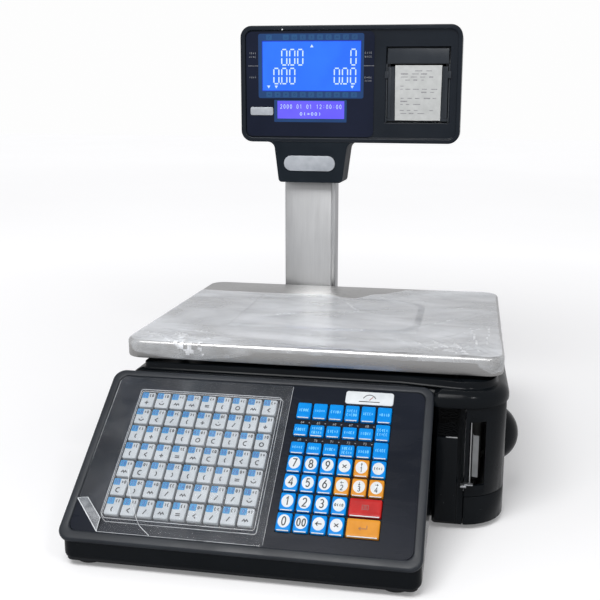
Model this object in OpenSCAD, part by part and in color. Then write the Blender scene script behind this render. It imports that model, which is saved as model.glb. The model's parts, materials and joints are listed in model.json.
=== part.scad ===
// Counter scale with a keypad deck, a side label printer and a display head on a pole.
// Everything is laid out with X = 0 on the platter's centre line, Y = 0 at the platter's
// front edge and Z = 0 on the counter, then moved so that the origin is the centre of the
// footprint of the whole scale.

/* [Platter] */
// Width of the weighing platter
pan_w = 365; // [340:1:370]
// Depth of the weighing platter
pan_d = 300; // [285:1:302]
// Height of the platter's top above the counter
pan_top = 161; // [159:0.5:166]
// Depth of the platter's folded skirt
pan_skirt = 18; // [12:0.5:19]
// Plan radius of the platter's corners
pan_r = 18; // [8:1:30]
// Thickness of the platter's sheet
pan_t = 1.5; // [1:0.1:2]

/* [Body] */
// Plan radius of the body's front right corner
corner_r = 42; // [36:1:46]
// Wall thickness of the mouldings
wall = 3; // [2.5:0.1:3.2]
// Overhang of the rounded lip above the printer door
lip = 1.8; // [0.5:0.1:2.5]

/* [Keypad] */
// Angle of the keypad deck above the counter
deck_tilt = 37.3; // [36:0.1:38]
// Travel of a key when it is pressed
// Height of the key tops above the deck's rim
key_proud = 1.6; // [0.8:0.1:2.2]
// Clearance between a key and its hole
key_gap = 0.35; // [0.25:0.05:0.45]

/* [Display head] */
// Width of the head
head_w = 271; // [266:1:275]
// Height of the head
head_h = 140; // [138:1:145]
// Depth of the head
head_d = 56; // [54:1:62]
// Radius of the head's corners
head_r = 14; // [8:1:18]

/* [Label printer] */
// Radius of a full label roll
roll_r = 40; // [28:1:41]
// Width of the label web
label_w = 40; // [30:1:52]
// Radius of the label platen roller
platen_r = 6; // [5:0.5:6]
// Radius of the round latch knob
knob_r = 24.5; // [18:0.5:26]

/* [Hidden] */
$fn = 48;
run_gap = 0.05;            // radial clearance of a running shaft
fit_gap = 0.3;             // gap between pieces that move past each other
overcut = 1;               // how far a cutter passes the face it cuts

// Platter
pan_under = pan_top - pan_t;
skirt_z = pan_top - pan_skirt;
hem = 6;
film_t = 0.4;
film_drop = 7;
carrier_z = 145.5;
carrier_t = 4;
arm_x = 144;               // middle of the carrier's side arms

// Body
body_left = -173;
body_right = 188;
body_back_right = 180;
body_front = -18;          // front wall to the right of the keypad deck
body_back = 345;
join_y = -5;               // front wall behind the keypad deck
join_x = 121;              // where the front wall steps forward
shell_z = 5;               // lower edge of the mouldings
lip_z = 118;
shoulder_z = 133;
collar_z = 139;
collar_in = 10;
collar_back = 305;
tray_z = 6;
tray_t = 2.5;
floor_z = tray_z + tray_t; // upper face of the base tray
bridge_x = [-160, 110];    // part of the tray that joins the keypad's floor to the body's

// Keypad deck, in its own frame: u to the right, s up the slope, n away from the slope
deck_left = -187.5;
deck_w = 308;
deck_run = 139.4;
deck_front = -145.6;
deck_z = 26.5;
deck_len = deck_run / cos(deck_tilt);
deck_r = 14;
bezel_t = 4;
rim_side = 8.2;
rim_front = 8.8;
rim_back = 7.2;
rim_r = 8;
plate_top = -1.2;
plate_t = 2;
key_skirt = -5.6;
board_top = -8;

// Keys
key_w = 13.2;
key_h = 16.5;
short_key_h = 11.8;
key_r = 1.6;
plu_u = 35.4;
plu_s = 24.4;
plu_pitch = [14.65, 18.1];
plu_cols = 9;
plu_rows = 7;
pad_u = 185;
pad_s = 23.4;
pad_pitch = [14.65, 18.2];
wide_key_w = pad_pitch.x + key_w;

// Printer corner
door_x = 150;              // free edge of the door, on the front wall
door_y = 150;              // hinged edge of the door, on the right wall
door_z0 = 33;
door_z1 = 117.4;
door_axis = [184.4, 150.7];
knuckle_r = 3;
pin_r = 1.5;
slot_x = [153.2, 168];
slot_z = [43, 104.5];
knob_at = [62, 68];        // y and z of the latch knob's axis
knob_base = 187.4;
knob_tip = 201;
knob_shaft_r = 5;
roll_at = [134, 82];
spindle_r = 12.5;
roll_z0 = 42;
platen_at = [158.4, 5];
label_z0 = 51.5;
chassis_z = 34;

// Pole, neck and head
pole_x = [-89.5, -23.5];
pole_y = [312, 335];
pole_top = 350;
pole_wall = 2;
head_left = -142;
head_right = head_left + head_w;
head_z0 = 341.8;
head_z1 = head_z0 + head_h;
head_front_y = 297;
head_back_y = head_front_y + head_d;
face_y = 300;              // recessed face of the head's front frame
frame_back_y = 307;
neck_z0 = 292;
neck_back_y = 344;
lcd_x = [-114.5, 7.5];
lcd_z = [404.5, 463];
date_x = [-96, -12];
date_z = [370.5, 392];
bay_x = [38.6, 115.2];
bay_z = [366.8, 456.4];
bay_back_y = 346;
receipt_pin = [301.2, 370.4];
receipt_axis = [323.5, 397];
receipt_roll_r = 19;
receipt_x = [49.8, 105.7];
receipt_platen_at = [306.5, 437.6];

foot_at = [[-165, -122], [98, -122], [-150, 318], [156, 318]];
foot_stem_r = 4;
port_x = [14, 42, 70, 98];
screw_at = [[-166.5, 30], [-166.5, 250], [4, 338.8], [-116.8, 338.8], [176.8, 200], [-60, 1.2]];
screw_r = 1.6;

// Middle of the footprint of the whole scale
mid_x = (deck_left + knob_tip) / 2;
mid_y = (deck_front + head_back_y) / 2;

// ---- outlines -------------------------------------------------------------

// Arc of radius r that rounds the corner b between its neighbours a and c
function corner_arc(a, b, c, r, n) =
    r < 0.01 ? [b] :
    let (
        to_a = (a - b) / norm(a - b),
        to_c = (c - b) / norm(c - b),
        half = acos(to_a * to_c) / 2,
        mid = to_a + to_c,
        centre = b + mid / norm(mid) * r / sin(half),
        from = b + to_a * r / tan(half) - centre,
        upto = b + to_c * r / tan(half) - centre,
        start = atan2(from.y, from.x),
        turn = (atan2(upto.y, upto.x) - start + 540) % 360 - 180
    )
    [for (i = [0:n]) centre + r * [cos(start + turn * i / n), sin(start + turn * i / n)]];

// Polygon with each corner rounded, by one radius or by a list of radii
function rounded(pts, radii, n = 6) =
    [for (i = [0:len(pts) - 1]) each corner_arc(
        pts[(i + len(pts) - 1) % len(pts)], pts[i], pts[(i + 1) % len(pts)],
        is_list(radii) ? radii[i] : radii, n)];

function rect(x0, y0, x1, y1) = [[x0, y0], [x1, y0], [x1, y1], [x0, y1]];

function body_outline(i) = rounded([
        [body_left + i, join_y + i], [join_x + i, join_y + i], [join_x + i, body_front + i],
        [body_right - i, body_front + i], [body_back_right - i, body_back - i],
        [body_left + i, body_back - i]],
    [max(8 - i, 1), 1.5 + i, max(4 - i, 1), corner_r - i, 30 - i, 30 - i], 8);

function collar_outline(i) = rounded([
        [body_left + collar_in + i, join_y + 6 + i], [join_x + 12 + i, join_y + 6 + i],
        [join_x + 12 + i, body_front + collar_in + i],
        [body_right - collar_in - i, body_front + collar_in + i],
        [body_back_right - collar_in - i, collar_back - i],
        [body_left + collar_in + i, collar_back - i]],
    [8 - i, 1.5 + i, 4 - i, corner_r - collar_in - i, 12 - i, 12 - i], 8);

function deck_outline(i) =
    rounded(rect(deck_left + 3.5 + i, deck_front + 0.6 + i, deck_left + deck_w - 0.6 - i, join_y - 0.6 - i),
        [10 - i, 10 - i, 3, 3]);

// Height of the plane that lies n above the deck's rim, at a given y
function deck_height(y, n) = deck_z + (y - deck_front) * tan(deck_tilt) + n / cos(deck_tilt);

// X of the body's outer right wall at a given y, behind the front corner
function right_wall(y) = body_right - (body_right - body_back_right)
    * (y - body_front) / (body_back - body_front);

// ---- building blocks ------------------------------------------------------

module place() {
    translate([-mid_x, -mid_y, 0]) children();
}

module block(low, high) {
    translate(low) cube(high - low);
}

module slab(pts, z0, z1) {
    translate([0, 0, z0]) linear_extrude(z1 - z0) polygon(pts);
}

module wall_xz(pts, y0, y1) {
    translate([0, y1, 0]) rotate([90, 0, 0]) linear_extrude(y1 - y0) polygon(pts);
}

module wall_yz(pts, x0, x1) {
    translate([x0, 0, 0]) rotate([90, 0, 90]) linear_extrude(x1 - x0) polygon(pts);
}

module post(at, r, z0, z1) {
    translate([at.x, at.y, z0]) cylinder(r = r, h = z1 - z0);
}

// Round bar along X, centred on y = at.x and z = at.y
module bar_x(at, r, x0, x1) {
    translate([x0, at.x, at.y]) rotate([0, 90, 0]) cylinder(r = r, h = x1 - x0);
}

module on_deck() {
    translate([deck_left, deck_front, deck_z]) rotate([deck_tilt, 0, 0]) children();
}

// ---- base and body --------------------------------------------------------

module base_tray() {
    color("dimgray") place() difference() {
        union() {
            slab(deck_outline(3), tray_z, floor_z);
            difference() {
                slab(body_outline(wall + 0.4), tray_z, floor_z);
                block([door_x - 4, body_front - overcut, 0], [body_right, door_y + 4, floor_z + overcut]);
            }
            block([bridge_x[0], deck_front + 60, tray_z], [bridge_x[1], 40, floor_z]);
            intersection() {
                slab(body_outline(wall + 0.4), tray_z, floor_z);
                block([door_x - 6, -8, tray_z], [178, door_y + 6, floor_z]);
            }
            for (at = foot_at) post(at, 9, tray_z, 18);
            for (x = [-130, 0, 80]) block([x, 40, floor_z], [x + 3, 120, floor_z + 6]);
        }
        for (at = foot_at) post(at, foot_stem_r + run_gap, 0, 20);
        for (at = screw_at) post(at, screw_r + 0.2, 0, floor_z + overcut);
        for (x = [-40:14:44]) block([x, 60, 0], [x + 6, 100, floor_z + overcut]);
    }
}

// Room for the tray's bridge under the walls between the keypad and the body
module tray_notch() {
    block([bridge_x[0] - fit_gap, join_y - 6, 0], [bridge_x[1] + fit_gap, join_y + 6, floor_z + fit_gap]);
}

module hinge_knuckle(z0, z1, side) {
    post(door_axis, knuckle_r, z0, z1);
    block([right_wall(door_y) - wall, min(door_axis.y, door_axis.y + side), z0],
        [door_axis.x, max(door_axis.y, door_axis.y + side), z1]);
}

module body_housing() {
    color([0.05, 0.055, 0.06]) place() difference() {
        union() {
            difference() {
                union() {
                    slab(body_outline(0), shell_z, lip_z);
                    slab(body_outline(-lip), lip_z, lip_z + 7);
                    slab(body_outline(-lip + 1.6), lip_z + 7, lip_z + 10);
                    slab(body_outline(2.6), lip_z + 10, lip_z + 13);
                    slab(body_outline(6), lip_z + 13, shoulder_z);
                    slab(collar_outline(0), shoulder_z, collar_z);
                }
                slab(body_outline(wall), 0, shoulder_z - wall);
                slab(collar_outline(wall), 100, collar_z - wall);
                // printer corner, filled by the door and the corner panel
                block([door_x - 0.8, body_front - 5, 0], [body_right + 5, door_y + 0.7, lip_z]);
                post(door_axis, knuckle_r + 0.4, door_z0 - overcut, lip_z);
                tray_notch();
                // the lip stops where the keypad's housing stands against the front wall
                block([body_left - 5, body_front - 5, lip_z - overcut], [join_x - 0.4, join_y, lip_z + 12]);
            }
            hinge_knuckle(60.4, 91.6, 5);
            for (at = screw_at) post(at, 4.2, floor_z, 26);
            // moulded step beside the printer corner
            block([join_x + 3, body_front - 1.4, 8], [door_x - 6, body_front + 1, 88]);
        }
        post(door_axis, pin_r, 30, 120);
        for (at = screw_at) post(at, screw_r, 0, 22);
        // openings for the load cell's spacer, the pole and the rear connectors
        slab(rounded(rect(14, 120, 84, 180), 6), 120, collar_z + overcut);
        slab(rounded(rect(pole_x[0] - 1, pole_y[0] - 1, pole_x[1] + 1, pole_y[1] + 1), 3), 120, 150);
        block([-150, body_back - 6, 22], [-122, body_back + overcut, 46]);
        block([-112, body_back - 6, 26], [-90, body_back + overcut, 42]);
        for (x = port_x) block([x, body_back - 6, 22], [x + 18, body_back + overcut, 38]);
        for (z = [60:8:100]) block([60, body_back - 6, z], [140, body_back + overcut, z + 3]);
    }
}

// Part of the body's wall that wraps the front right corner
module corner_wall(z0, z1, back) {
    intersection() {
        difference() {
            slab(body_outline(0), z0, z1);
            slab(body_outline(wall), z0 - overcut, z1 + overcut);
        }
        block([door_x, body_front - 5, z0 - overcut], [body_right + 5, back, z1 + overcut]);
    }
}

module corner_panel() {
    color([0.05, 0.055, 0.06]) place() corner_wall(shell_z, door_z0 - 0.6, door_y);
}

module body_screws() {
    color("silver") place() for (at = screw_at) {
        post(at, 2.9, tray_z - 1.8, tray_z);
        post(at, screw_r - 0.15, tray_z - 0.5, 21);
    }
}

module foot(at) {
    color([0.1, 0.1, 0.1]) place() {
        post(at, 13, 0, 3.2);
        post(at, 11, 3, 5.2);
        post(at, foot_stem_r, 5, 19);
    }
}

module load_cell() {
    color("gainsboro") place() difference() {
        block([-66, 135, 96], [66, 165, 118]);
        for (x = [-14, 14]) translate([x, 134, 107]) rotate([-90, 0, 0]) cylinder(r = 8, h = 32);
        block([-14, 134, 104], [14, 166, 110]);
        for (x = [-58, -44, 44, 58]) post([x, 150], 3, 90, 120);
    }
}

module load_cell_blocks() {
    color("slategray") place() {
        difference() {
            block([-68, 130, floor_z], [-34, 170, 96]);
            block([-64, 134, floor_z - overcut], [-38, 166, 88]);
        }
        block([34, 135, 118], [66, 165, carrier_z]);
    }
}

module pan_carrier() {
    color("lightsteelblue") place() {
        slab(rounded(rect(-66, 110, 80, 190), 10), carrier_z, carrier_z + carrier_t);
        for (side = [-1, 1]) {
            translate([side * arm_x, 0, 0]) block([-6, 38, carrier_z], [6, 262, carrier_z + carrier_t]);
            translate([0, 150 + side * 40, 0])
                block([-arm_x - 6, -6, carrier_z], [arm_x + 6, 6, carrier_z + carrier_t]);
        }
    }
}

module carrier_pads() {
    color([0.12, 0.12, 0.12]) place()
        for (sx = [-1, 1], sy = [-1, 1])
            post([sx * arm_x, 150 + sy * 100], 5.5, carrier_z + carrier_t, pan_under - 0.1);
}

module main_board() {
    color("darkgreen") place() {
        block([-160, 25, 20], [-84, 125, 21.6]);
        block([-150, 40, 21.6], [-128, 62, 25]);
        block([-118, 80, 21.6], [-98, 96, 24]);
        for (x = [-150, -120]) block([x, 106, 21.6], [x + 20, 118, 31]);
        for (x = [-154, -90], y = [31, 119]) post([x, y], 3, floor_z, 20);
    }
}

module power_supply() {
    color("silver") place() difference() {
        block([-160, 215, floor_z], [-75, 290, floor_z + 36]);
        for (x = [-150:12:-90]) block([x, 225, floor_z + 34], [x + 5, 280, floor_z + 37]);
    }
}

module power_inlet() {
    color([0.08, 0.08, 0.08]) place() difference() {
        union() {
            block([-149.5, body_back - 18, 22.5], [-122.5, body_back, 45.5]);
            block([-156, body_back, 20], [-116, body_back + 2, 48]);
        }
        block([-147.5, body_back - 14, 25], [-124.5, body_back + 3, 43]);
        for (x = [-153, -119]) translate([x, body_back - 1, 34]) rotate([-90, 0, 0]) cylinder(r = 1.6, h = 4);
    }
    color("gold") place()
        for (at = [[-141, 31], [-131, 31], [-136, 37]])
            block([at.x - 0.9, body_back - 14, at.y - 2], [at.x + 0.9, body_back - 3, at.y + 2]);
}

module power_switch() {
    color([0.45, 0.03, 0.03]) place() {
        wall_yz([[body_back - 3, 27], [body_back + 1.2, 26.9], [body_back + 0.2, 34], [body_back + 3, 41.1],
            [body_back - 3, 41]], -111, -91);
    }
}

// Two jacks with sockets, then two flat data connectors
module io_ports() {
    color("silver") place() for (i = [0:3]) {
        x = port_x[i];
        difference() {
            block([x + 0.3, body_back - 17, 22.3], [x + 17.7, body_back + 0.5, 37.7]);
            if (i < 2) block([x + 3, body_back - 9, 25], [x + 15, body_back + 2, 35]);
        }
        if (i > 1) block([x + 3, body_back + 0.5, 26], [x + 15, body_back + 4, 34]);
    }
}

// ---- platter --------------------------------------------------------------

module pan() {
    color("silver") place() difference() {
        slab(rounded(rect(-pan_w / 2, 0, pan_w / 2, pan_d), pan_r, 8), skirt_z, pan_top);
        slab(rounded(rect(pan_t - pan_w / 2, pan_t, pan_w / 2 - pan_t, pan_d - pan_t), pan_r - pan_t, 8),
            skirt_z + pan_t, pan_under);
        slab(rounded(rect(hem - pan_w / 2, hem, pan_w / 2 - hem, pan_d - hem), max(pan_r - hem, 1), 8),
            skirt_z - overcut, skirt_z + pan_t + overcut);
    }
}

module pan_film() {
    color([0.9, 0.93, 0.95, 0.4]) place() difference() {
        slab(rounded(rect(-pan_w / 2 - film_t, -film_t, pan_w / 2 + film_t, pan_d + film_t),
            pan_r + film_t, 8), pan_top - film_drop, pan_top + film_t);
        slab(rounded(rect(-pan_w / 2, 0, pan_w / 2, pan_d), pan_r, 8),
            pan_top - film_drop - overcut, pan_top);
    }
}

// ---- keypad ---------------------------------------------------------------

module keypad_housing() {
    back = join_y - 0.6;
    color([0.06, 0.065, 0.07]) place() intersection() {
        difference() {
            slab(deck_outline(0), shell_z, 200);
            slab(deck_outline(wall - 0.4), shell_z - overcut, 201);
            tray_notch();
        }
        wall_yz([[deck_front, shell_z], [back, shell_z], [back, deck_height(back, -bezel_t)],
            [deck_front, deck_height(deck_front, -bezel_t)]], deck_left, deck_left + deck_w);
    }
}

module rim_hole(extra, n0, n1) {
    slab(rounded(rect(rim_side - extra, rim_front - extra, deck_w - rim_side + extra,
        deck_len - rim_back + extra), rim_r + extra), n0, n1);
}

module keypad_bezel() {
    color([0.14, 0.15, 0.16]) place() difference() {
        on_deck() difference() {
            slab(rounded(rect(0, 0, deck_w, deck_len), deck_r, 8), -bezel_t, 0);
            rim_hole(0, -bezel_t - overcut, overcut);
        }
        block([deck_left - 5, join_y - 0.2, deck_z], [deck_left + deck_w + 5, join_y + 10, 150]);
    }
}

function plu_at(c, r) = [plu_u + c * plu_pitch.x, plu_s + r * plu_pitch.y];
function pad_at(c, r) = [pad_u + c * pad_pitch.x, pad_s + r * pad_pitch.y];

// Lists of keys, each one [u, s, width, height]
function full_keys(cells) = [for (c = cells) [pad_at(c.x, c.y).x, pad_at(c.x, c.y).y, key_w, key_h]];
PLU = [for (r = [0:plu_rows - 1], c = [0:plu_cols - 1]) [plu_at(c, r).x, plu_at(c, r).y, key_w, key_h]];
FUNCTION = concat(
    full_keys([for (c = [0:5]) [c, 6]]),
    full_keys([[5, 5], [5, 4]]),
    [for (r = [4, 5], c = [0:4]) [pad_at(c, r).x, pad_at(c, r).y, key_w, short_key_h]]);
COMMAND = full_keys([[3, 3], [4, 3], [5, 3], [3, 2], [4, 2], [5, 2], [3, 1], [2, 0], [3, 0]]);
function wide_key(r) = [[pad_at(4, r).x, pad_at(4, r).y, wide_key_w, key_h]];
ZERO = full_keys([[0, 0]]);
DOUBLE_ZERO = full_keys([[1, 0]]);
function digit_row(r) = full_keys([for (c = [0:2]) [c, r]]);

module caps(keys, tint) {
    color(tint) place() on_deck() for (k = keys)
        slab(rounded(rect(k[0], k[1], k[0] + k[2], k[1] + k[3]), key_r, 3), key_skirt, key_proud);
}

module key_plate() {
    all_keys = concat(PLU, FUNCTION, COMMAND, wide_key(0), wide_key(1), ZERO, DOUBLE_ZERO,
        digit_row(1), digit_row(2), digit_row(3));
    color([0.07, 0.08, 0.13]) place() on_deck()
        translate([0, 0, plate_top - plate_t]) linear_extrude(plate_t) difference() {
            polygon(rounded(rect(rim_side, rim_front, deck_w - rim_side, deck_len - rim_back), rim_r));
            for (k = all_keys)
                translate([k[0] - key_gap, k[1] - key_gap])
                    square([k[2] + 2 * key_gap, k[3] + 2 * key_gap]);
        }
}

module key_cover() {
    sheet = 0.7;
    low = [31.5, 17.5];
    high = [171.5, 153];
    color([0.85, 0.9, 0.95, 0.25]) place() on_deck() difference() {
        union() {
            slab(rounded(rect(rim_side + 0.3, rim_front + 0.3, 177.5, deck_len - rim_back - 0.3), 5),
                plate_top, plate_top + sheet);
            slab(rounded(rect(low.x, low.y, high.x, high.y), 4), plate_top, key_proud + 3);
        }
        slab(rounded(rect(low.x + sheet, low.y + sheet, high.x - sheet, high.y - sheet), 4 - sheet),
            plate_top - overcut, key_proud + 3 - sheet);
    }
}

module keypad_board() {
    color("darkgreen") place() on_deck() {
        block([20, 16, board_top - 1.6], [288, 160, board_top]);
        for (u = [24, 178, 284], s = [18, 157]) post([u, s], 2, board_top, plate_top - plate_t);
    }
}

// ---- label printer --------------------------------------------------------

module printer_chassis() {
    left = roll_at.x - 46;
    color("lightslategray") place() difference() {
        union() {
            block([left, 2, chassis_z], [174, 140, chassis_z + 2]);
            block([126, -8, chassis_z], [162, 3, chassis_z + 2]);
            block([left, 2, chassis_z], [left + 2, 140, 116]);
            block([left, 2, 112], [168, 16, 114]);
            block([126, -8, 112], [162, 3, 114]);
            post(roll_at, spindle_r, chassis_z, 104);
            post(roll_at, 20, chassis_z + 2, roll_z0 - 0.5);
            for (at = [[left + 6, 10], [left + 6, 134], [168, 134], [158, 40]])
                post(at, 4, floor_z, chassis_z);
        }
        post(platen_at, 2.5 + run_gap, chassis_z - overcut, 120);
        post([left + 6, 10], 1.5, 0, chassis_z + 3);
        post([168, 134], 1.5, 0, chassis_z + 3);
    }
}

module label_roll() {
    color("whitesmoke") place() difference() {
        post(roll_at, roll_r, roll_z0, roll_z0 + label_w + 14);
        post(roll_at, spindle_r + run_gap, roll_z0 - overcut, roll_z0 + label_w + 15);
    }
}

module label_platen() {
    color([0.15, 0.15, 0.15]) place() {
        post(platen_at, platen_r, 44, 106);
        post(platen_at, 2.5, chassis_z - 1.5, 115.5);
    }
}

module label_print_head() {
    color("silver") place() {
        nip = platen_at.x - platen_r - 0.9;
        block([nip - 3, -4, 46], [nip, 15, 104]);
        block([nip - 12, 2, chassis_z + 2], [nip - 3, 12, 112]);
    }
}

module peel_bar() {
    color("silver") place() {
        block([154.2, -13.2, chassis_z + 2], [155.4, -9, 112]);
        block([150.6, -12.2, 39.5], [158.6, -9.2, 41]);
        block([154.2, -9, chassis_z + 2], [155.4, -6, 44]);
    }
}

// Point where a line from p touches the right side of a circle
function tangent(p, centre, r) =
    let (d = centre - p, far = norm(d), a = atan2(d.y, d.x) - asin(r / far))
    p + sqrt(far * far - r * r) * [cos(a), sin(a)];

// The label web runs from the roll past the platen and turns out at the slot
module label_strip() {
    nip = platen_at.x - platen_r - 0.5;
    turn_in = [nip, 10];
    path = [tangent(turn_in, roll_at, roll_r + 0.8), turn_in, [nip, 1], [nip + 3.9, -5.5], [nip + 5.2, -13.2],
        [nip + 10, -14.2]];
    t = 0.35;
    outward = [[-t, 0], [-t, 0], [-t, 0], [-t, 0], [-t, -t], [0, -t]];
    color("white") place()
        slab(concat(path, [for (i = [len(path) - 1:-1:0]) path[i] + outward[i]]),
            label_z0, label_z0 + label_w);
}

module door_hinge_pin() {
    color("silver") place() post(door_axis, pin_r, 40.5, 111.5);
}

module printer_door() {
    color([0.055, 0.06, 0.065]) place() difference() {
        union() {
            difference() {
                corner_wall(door_z0, door_z1, door_y);
                post(door_axis, knuckle_r + 0.4, door_z0 - overcut, door_z1 + overcut);
            }
            for (z = [40, 92]) hinge_knuckle(z, z + 20, -5);
            bar_x(knob_at, 10, right_wall(knob_at.x) - wall - 2, knob_base - 0.3);
        }
        post(door_axis, pin_r + run_gap, 30, 120);
        bar_x(knob_at, knob_shaft_r + run_gap, 170, 200);
        block([slot_x[0], body_front - 5, slot_z[0]], [slot_x[1], 10, slot_z[1]]);
    }
}

module door_knob() {
    height = knob_tip - knob_base;
    sphere_r = (knob_r * knob_r + height * height) / (2 * height);
    steps = 10;
    top_angle = acos((sphere_r - height) / sphere_r);
    color([0.06, 0.065, 0.07]) place() {
        translate([knob_base, knob_at.x, knob_at.y]) rotate([0, 90, 0]) rotate_extrude($fn = 64)
            polygon(concat([[0, 0]], [for (i = [steps:-1:0])
                [sphere_r * sin(top_angle * i / steps), sphere_r * cos(top_angle * i / steps)
                    - sphere_r + height]]));
        bar_x(knob_at, knob_shaft_r, 177.6, knob_base + 2);
        block([177.6, knob_at.x - 4, knob_at.y - 4], [180.6, knob_at.x + 4, knob_at.y + 20]);
    }
}

// ---- pole, neck and head --------------------------------------------------

module pole_bracket() {
    color("darkgray") place() difference() {
        union() {
            slab(rect(pole_x[0] - 4, pole_y[0] - 4, pole_x[1] + 4, pole_y[1] + 4), floor_z, 70);
            slab(rect(pole_x[0] - 20, pole_y[0] - 10, pole_x[1] + 20, pole_y[1] + 4), floor_z, floor_z + 4);
        }
        slab(rect(pole_x[0], pole_y[0], pole_x[1], pole_y[1]), floor_z + 4, 71);
    }
}

module pole() {
    color("silver") place() difference() {
        slab(rounded(rect(pole_x[0], pole_y[0], pole_x[1], pole_y[1]), 2, 3), floor_z + 4, pole_top);
        slab(rect(pole_x[0] + pole_wall, pole_y[0] + pole_wall, pole_x[1] - pole_wall,
            pole_y[1] - pole_wall), floor_z, pole_top + overcut);
        block([pole_x[1] - 6, pole_y[0] - overcut, floor_z], [pole_x[1] - 5, pole_y[0] + 0.8, 360]);
    }
}

function neck_outline(i) = [
    [-94.3 + i, neck_z0 - 1], [-14.1 - i, neck_z0 - 1], [-7.3 - i, head_z0], [-100 + i, head_z0]];

module neck() {
    color([0.05, 0.055, 0.08]) place() difference() {
        wall_xz([[-94.3, neck_z0], [-14.1, neck_z0], [-8.6, head_z0 - 4], [-2, head_z0],
            [-105.5, head_z0], [-98.8, head_z0 - 4]], head_front_y + 1, neck_back_y);
        wall_xz(neck_outline(wall - 0.5), head_front_y + 3.5, neck_back_y - 2.5);
    }
}

module head_rear() {
    color([0.05, 0.055, 0.06]) place() difference() {
        union() {
            wall_xz(rounded(rect(head_left, head_z0, head_right, head_z1), head_r, 8),
                frame_back_y, head_back_y - 9);
            wall_xz(rounded(rect(head_left + 2, head_z0 + 2, head_right - 2, head_z1 - 2), head_r - 2, 8),
                head_back_y - 9, head_back_y - 4);
            wall_xz(rounded(rect(head_left + 6, head_z0 + 6, head_right - 6, head_z1 - 6), head_r - 4, 8),
                head_back_y - 4, head_back_y);
        }
        wall_xz(rounded(rect(head_left + 6.5, head_z0 + 6.5, head_right - 6.5, head_z1 - 6.5),
            head_r - 6, 8), frame_back_y - overcut, head_back_y - wall);
        slab(rect(pole_x[0] - 0.5, pole_y[0] - 0.5, pole_x[1] + 0.5, pole_y[1] + 0.5), 330, head_z0 + 10);
        wall_xz(rear_window_outline(0), head_back_y - 2, head_back_y + overcut);
        for (z = [358:7:379]) block([50, head_back_y - 5, z], [104, head_back_y + overcut, z + 2.4]);
    }
}

function rear_window_outline(i) = rounded(rect(-122 + i, 392 + i, 30 - i, 470 - i), 6 - i);

module rear_window() {
    color([0.05, 0.06, 0.14]) place() wall_xz(rear_window_outline(0.2), head_back_y - 2, head_back_y - 0.3);
}

module head_front() {
    color([0.06, 0.065, 0.09]) place() difference() {
        wall_xz(rounded(rect(head_left, head_z0, head_right, head_z1), head_r, 8),
            head_front_y, frame_back_y);
        wall_xz(rounded(rect(head_left + 6, head_z0 + 5.5, head_right - 5, head_z1 - 5.5),
            head_r - 5, 8), head_front_y - overcut, face_y);
        wall_xz(rect(lcd_x[0], lcd_z[0], lcd_x[1], lcd_z[1]), head_front_y, frame_back_y + overcut);
        wall_xz(rect(date_x[0], date_z[0], date_x[1], date_z[1]), head_front_y, frame_back_y + overcut);
        wall_xz(rect(bay_x[0], bay_z[0], bay_x[1], bay_z[1]), head_front_y, frame_back_y + overcut);
    }
}

module display_window() {
    color([0.05, 0.06, 0.14]) place() difference() {
        wall_xz(rounded(rect(head_left + 7, head_z0 + 7, 24, head_z1 - 7), 7, 8), face_y - 1.2, face_y);
        wall_xz(rect(lcd_x[0], lcd_z[0], lcd_x[1], lcd_z[1]), face_y - 3, face_y + overcut);
        wall_xz(rect(date_x[0], date_z[0], date_x[1], date_z[1]), face_y - 3, face_y + overcut);
    }
}

module main_lcd() {
    color([0.1, 0.35, 0.95]) place()
        wall_xz(rect(lcd_x[0], lcd_z[0], lcd_x[1], lcd_z[1]), face_y - 0.8, frame_back_y);
}

module date_lcd() {
    color([0.3, 0.2, 0.95]) place()
        wall_xz(rect(date_x[0], date_z[0], date_x[1], date_z[1]), face_y - 0.8, frame_back_y);
}

module display_board() {
    color("darkgreen") place() {
        wall_xz(rect(-126, 362, 20, 468), 309, 310.6);
        for (x = [-122, 16], z = [366, 464])
            translate([x, frame_back_y, z]) rotate([-90, 0, 0]) cylinder(r = 2.5, h = 2);
        block([-20, 310.6, 440], [0, 318, 455]);
    }
}

module blank_plates() {
    color("gainsboro") place() {
        wall_xz(rounded(rect(-130, 374.4, -101.2, 384.2), 2, 4), face_y - 2.2, face_y - 1.2);
        wall_xz(rounded(rect(-87.4, 306.3, -23, 325), 8, 6), head_front_y - 0.2, head_front_y + 1);
        on_deck() slab(rounded(rect(227.5, 152, 271.5, 165.8), 2.5, 4), plate_top, plate_top + 0.8);
    }
}

module receipt_mechanism() {
    t = 1.4;
    color([0.1, 0.1, 0.11]) place() difference() {
        union() {
            difference() {
                wall_xz(rect(bay_x[0], bay_z[0], bay_x[1], bay_z[1]), frame_back_y, bay_back_y);
                wall_xz(rect(bay_x[0] + t, bay_z[0] + t, bay_x[1] - t, bay_z[1] - t),
                    frame_back_y - overcut, bay_back_y - t);
            }
            for (x = [bay_x[0], bay_x[1] - t]) {
                block([x, face_y + 0.5, bay_z[0]], [x + t, frame_back_y + 2, bay_z[1] - 20]);
                block([x, face_y - 1, bay_z[0] + 0.2], [x + t, frame_back_y, bay_z[0] + 7]);
            }
            for (x = [bay_x[0], bay_x[1] - 5]) block([x, 304, 433], [x + 5, 312, 442]);
            bar_x(receipt_axis, 5, bay_x[0], bay_x[1]);
            block([48, 309.9, 434], [107, 316, 444]);
            block([bay_x[0], 313, 440], [bay_x[1], 316, 450]);
        }
        bar_x(receipt_pin, 1.5 + run_gap, bay_x[0] - overcut, bay_x[1] + overcut);
        bar_x(receipt_platen_at, 1.5 + run_gap, bay_x[0] - overcut, bay_x[1] + overcut);
    }
}

module receipt_hood() {
    color([0.13, 0.14, 0.15]) place()
        wall_yz([[299.3, 442.6], [299.8, 454.2], [312, 454.7], [312, 452], [303, 444.5], [303, 436.4],
            [299, 436.4]], 40.3, 113.5);
}

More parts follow.
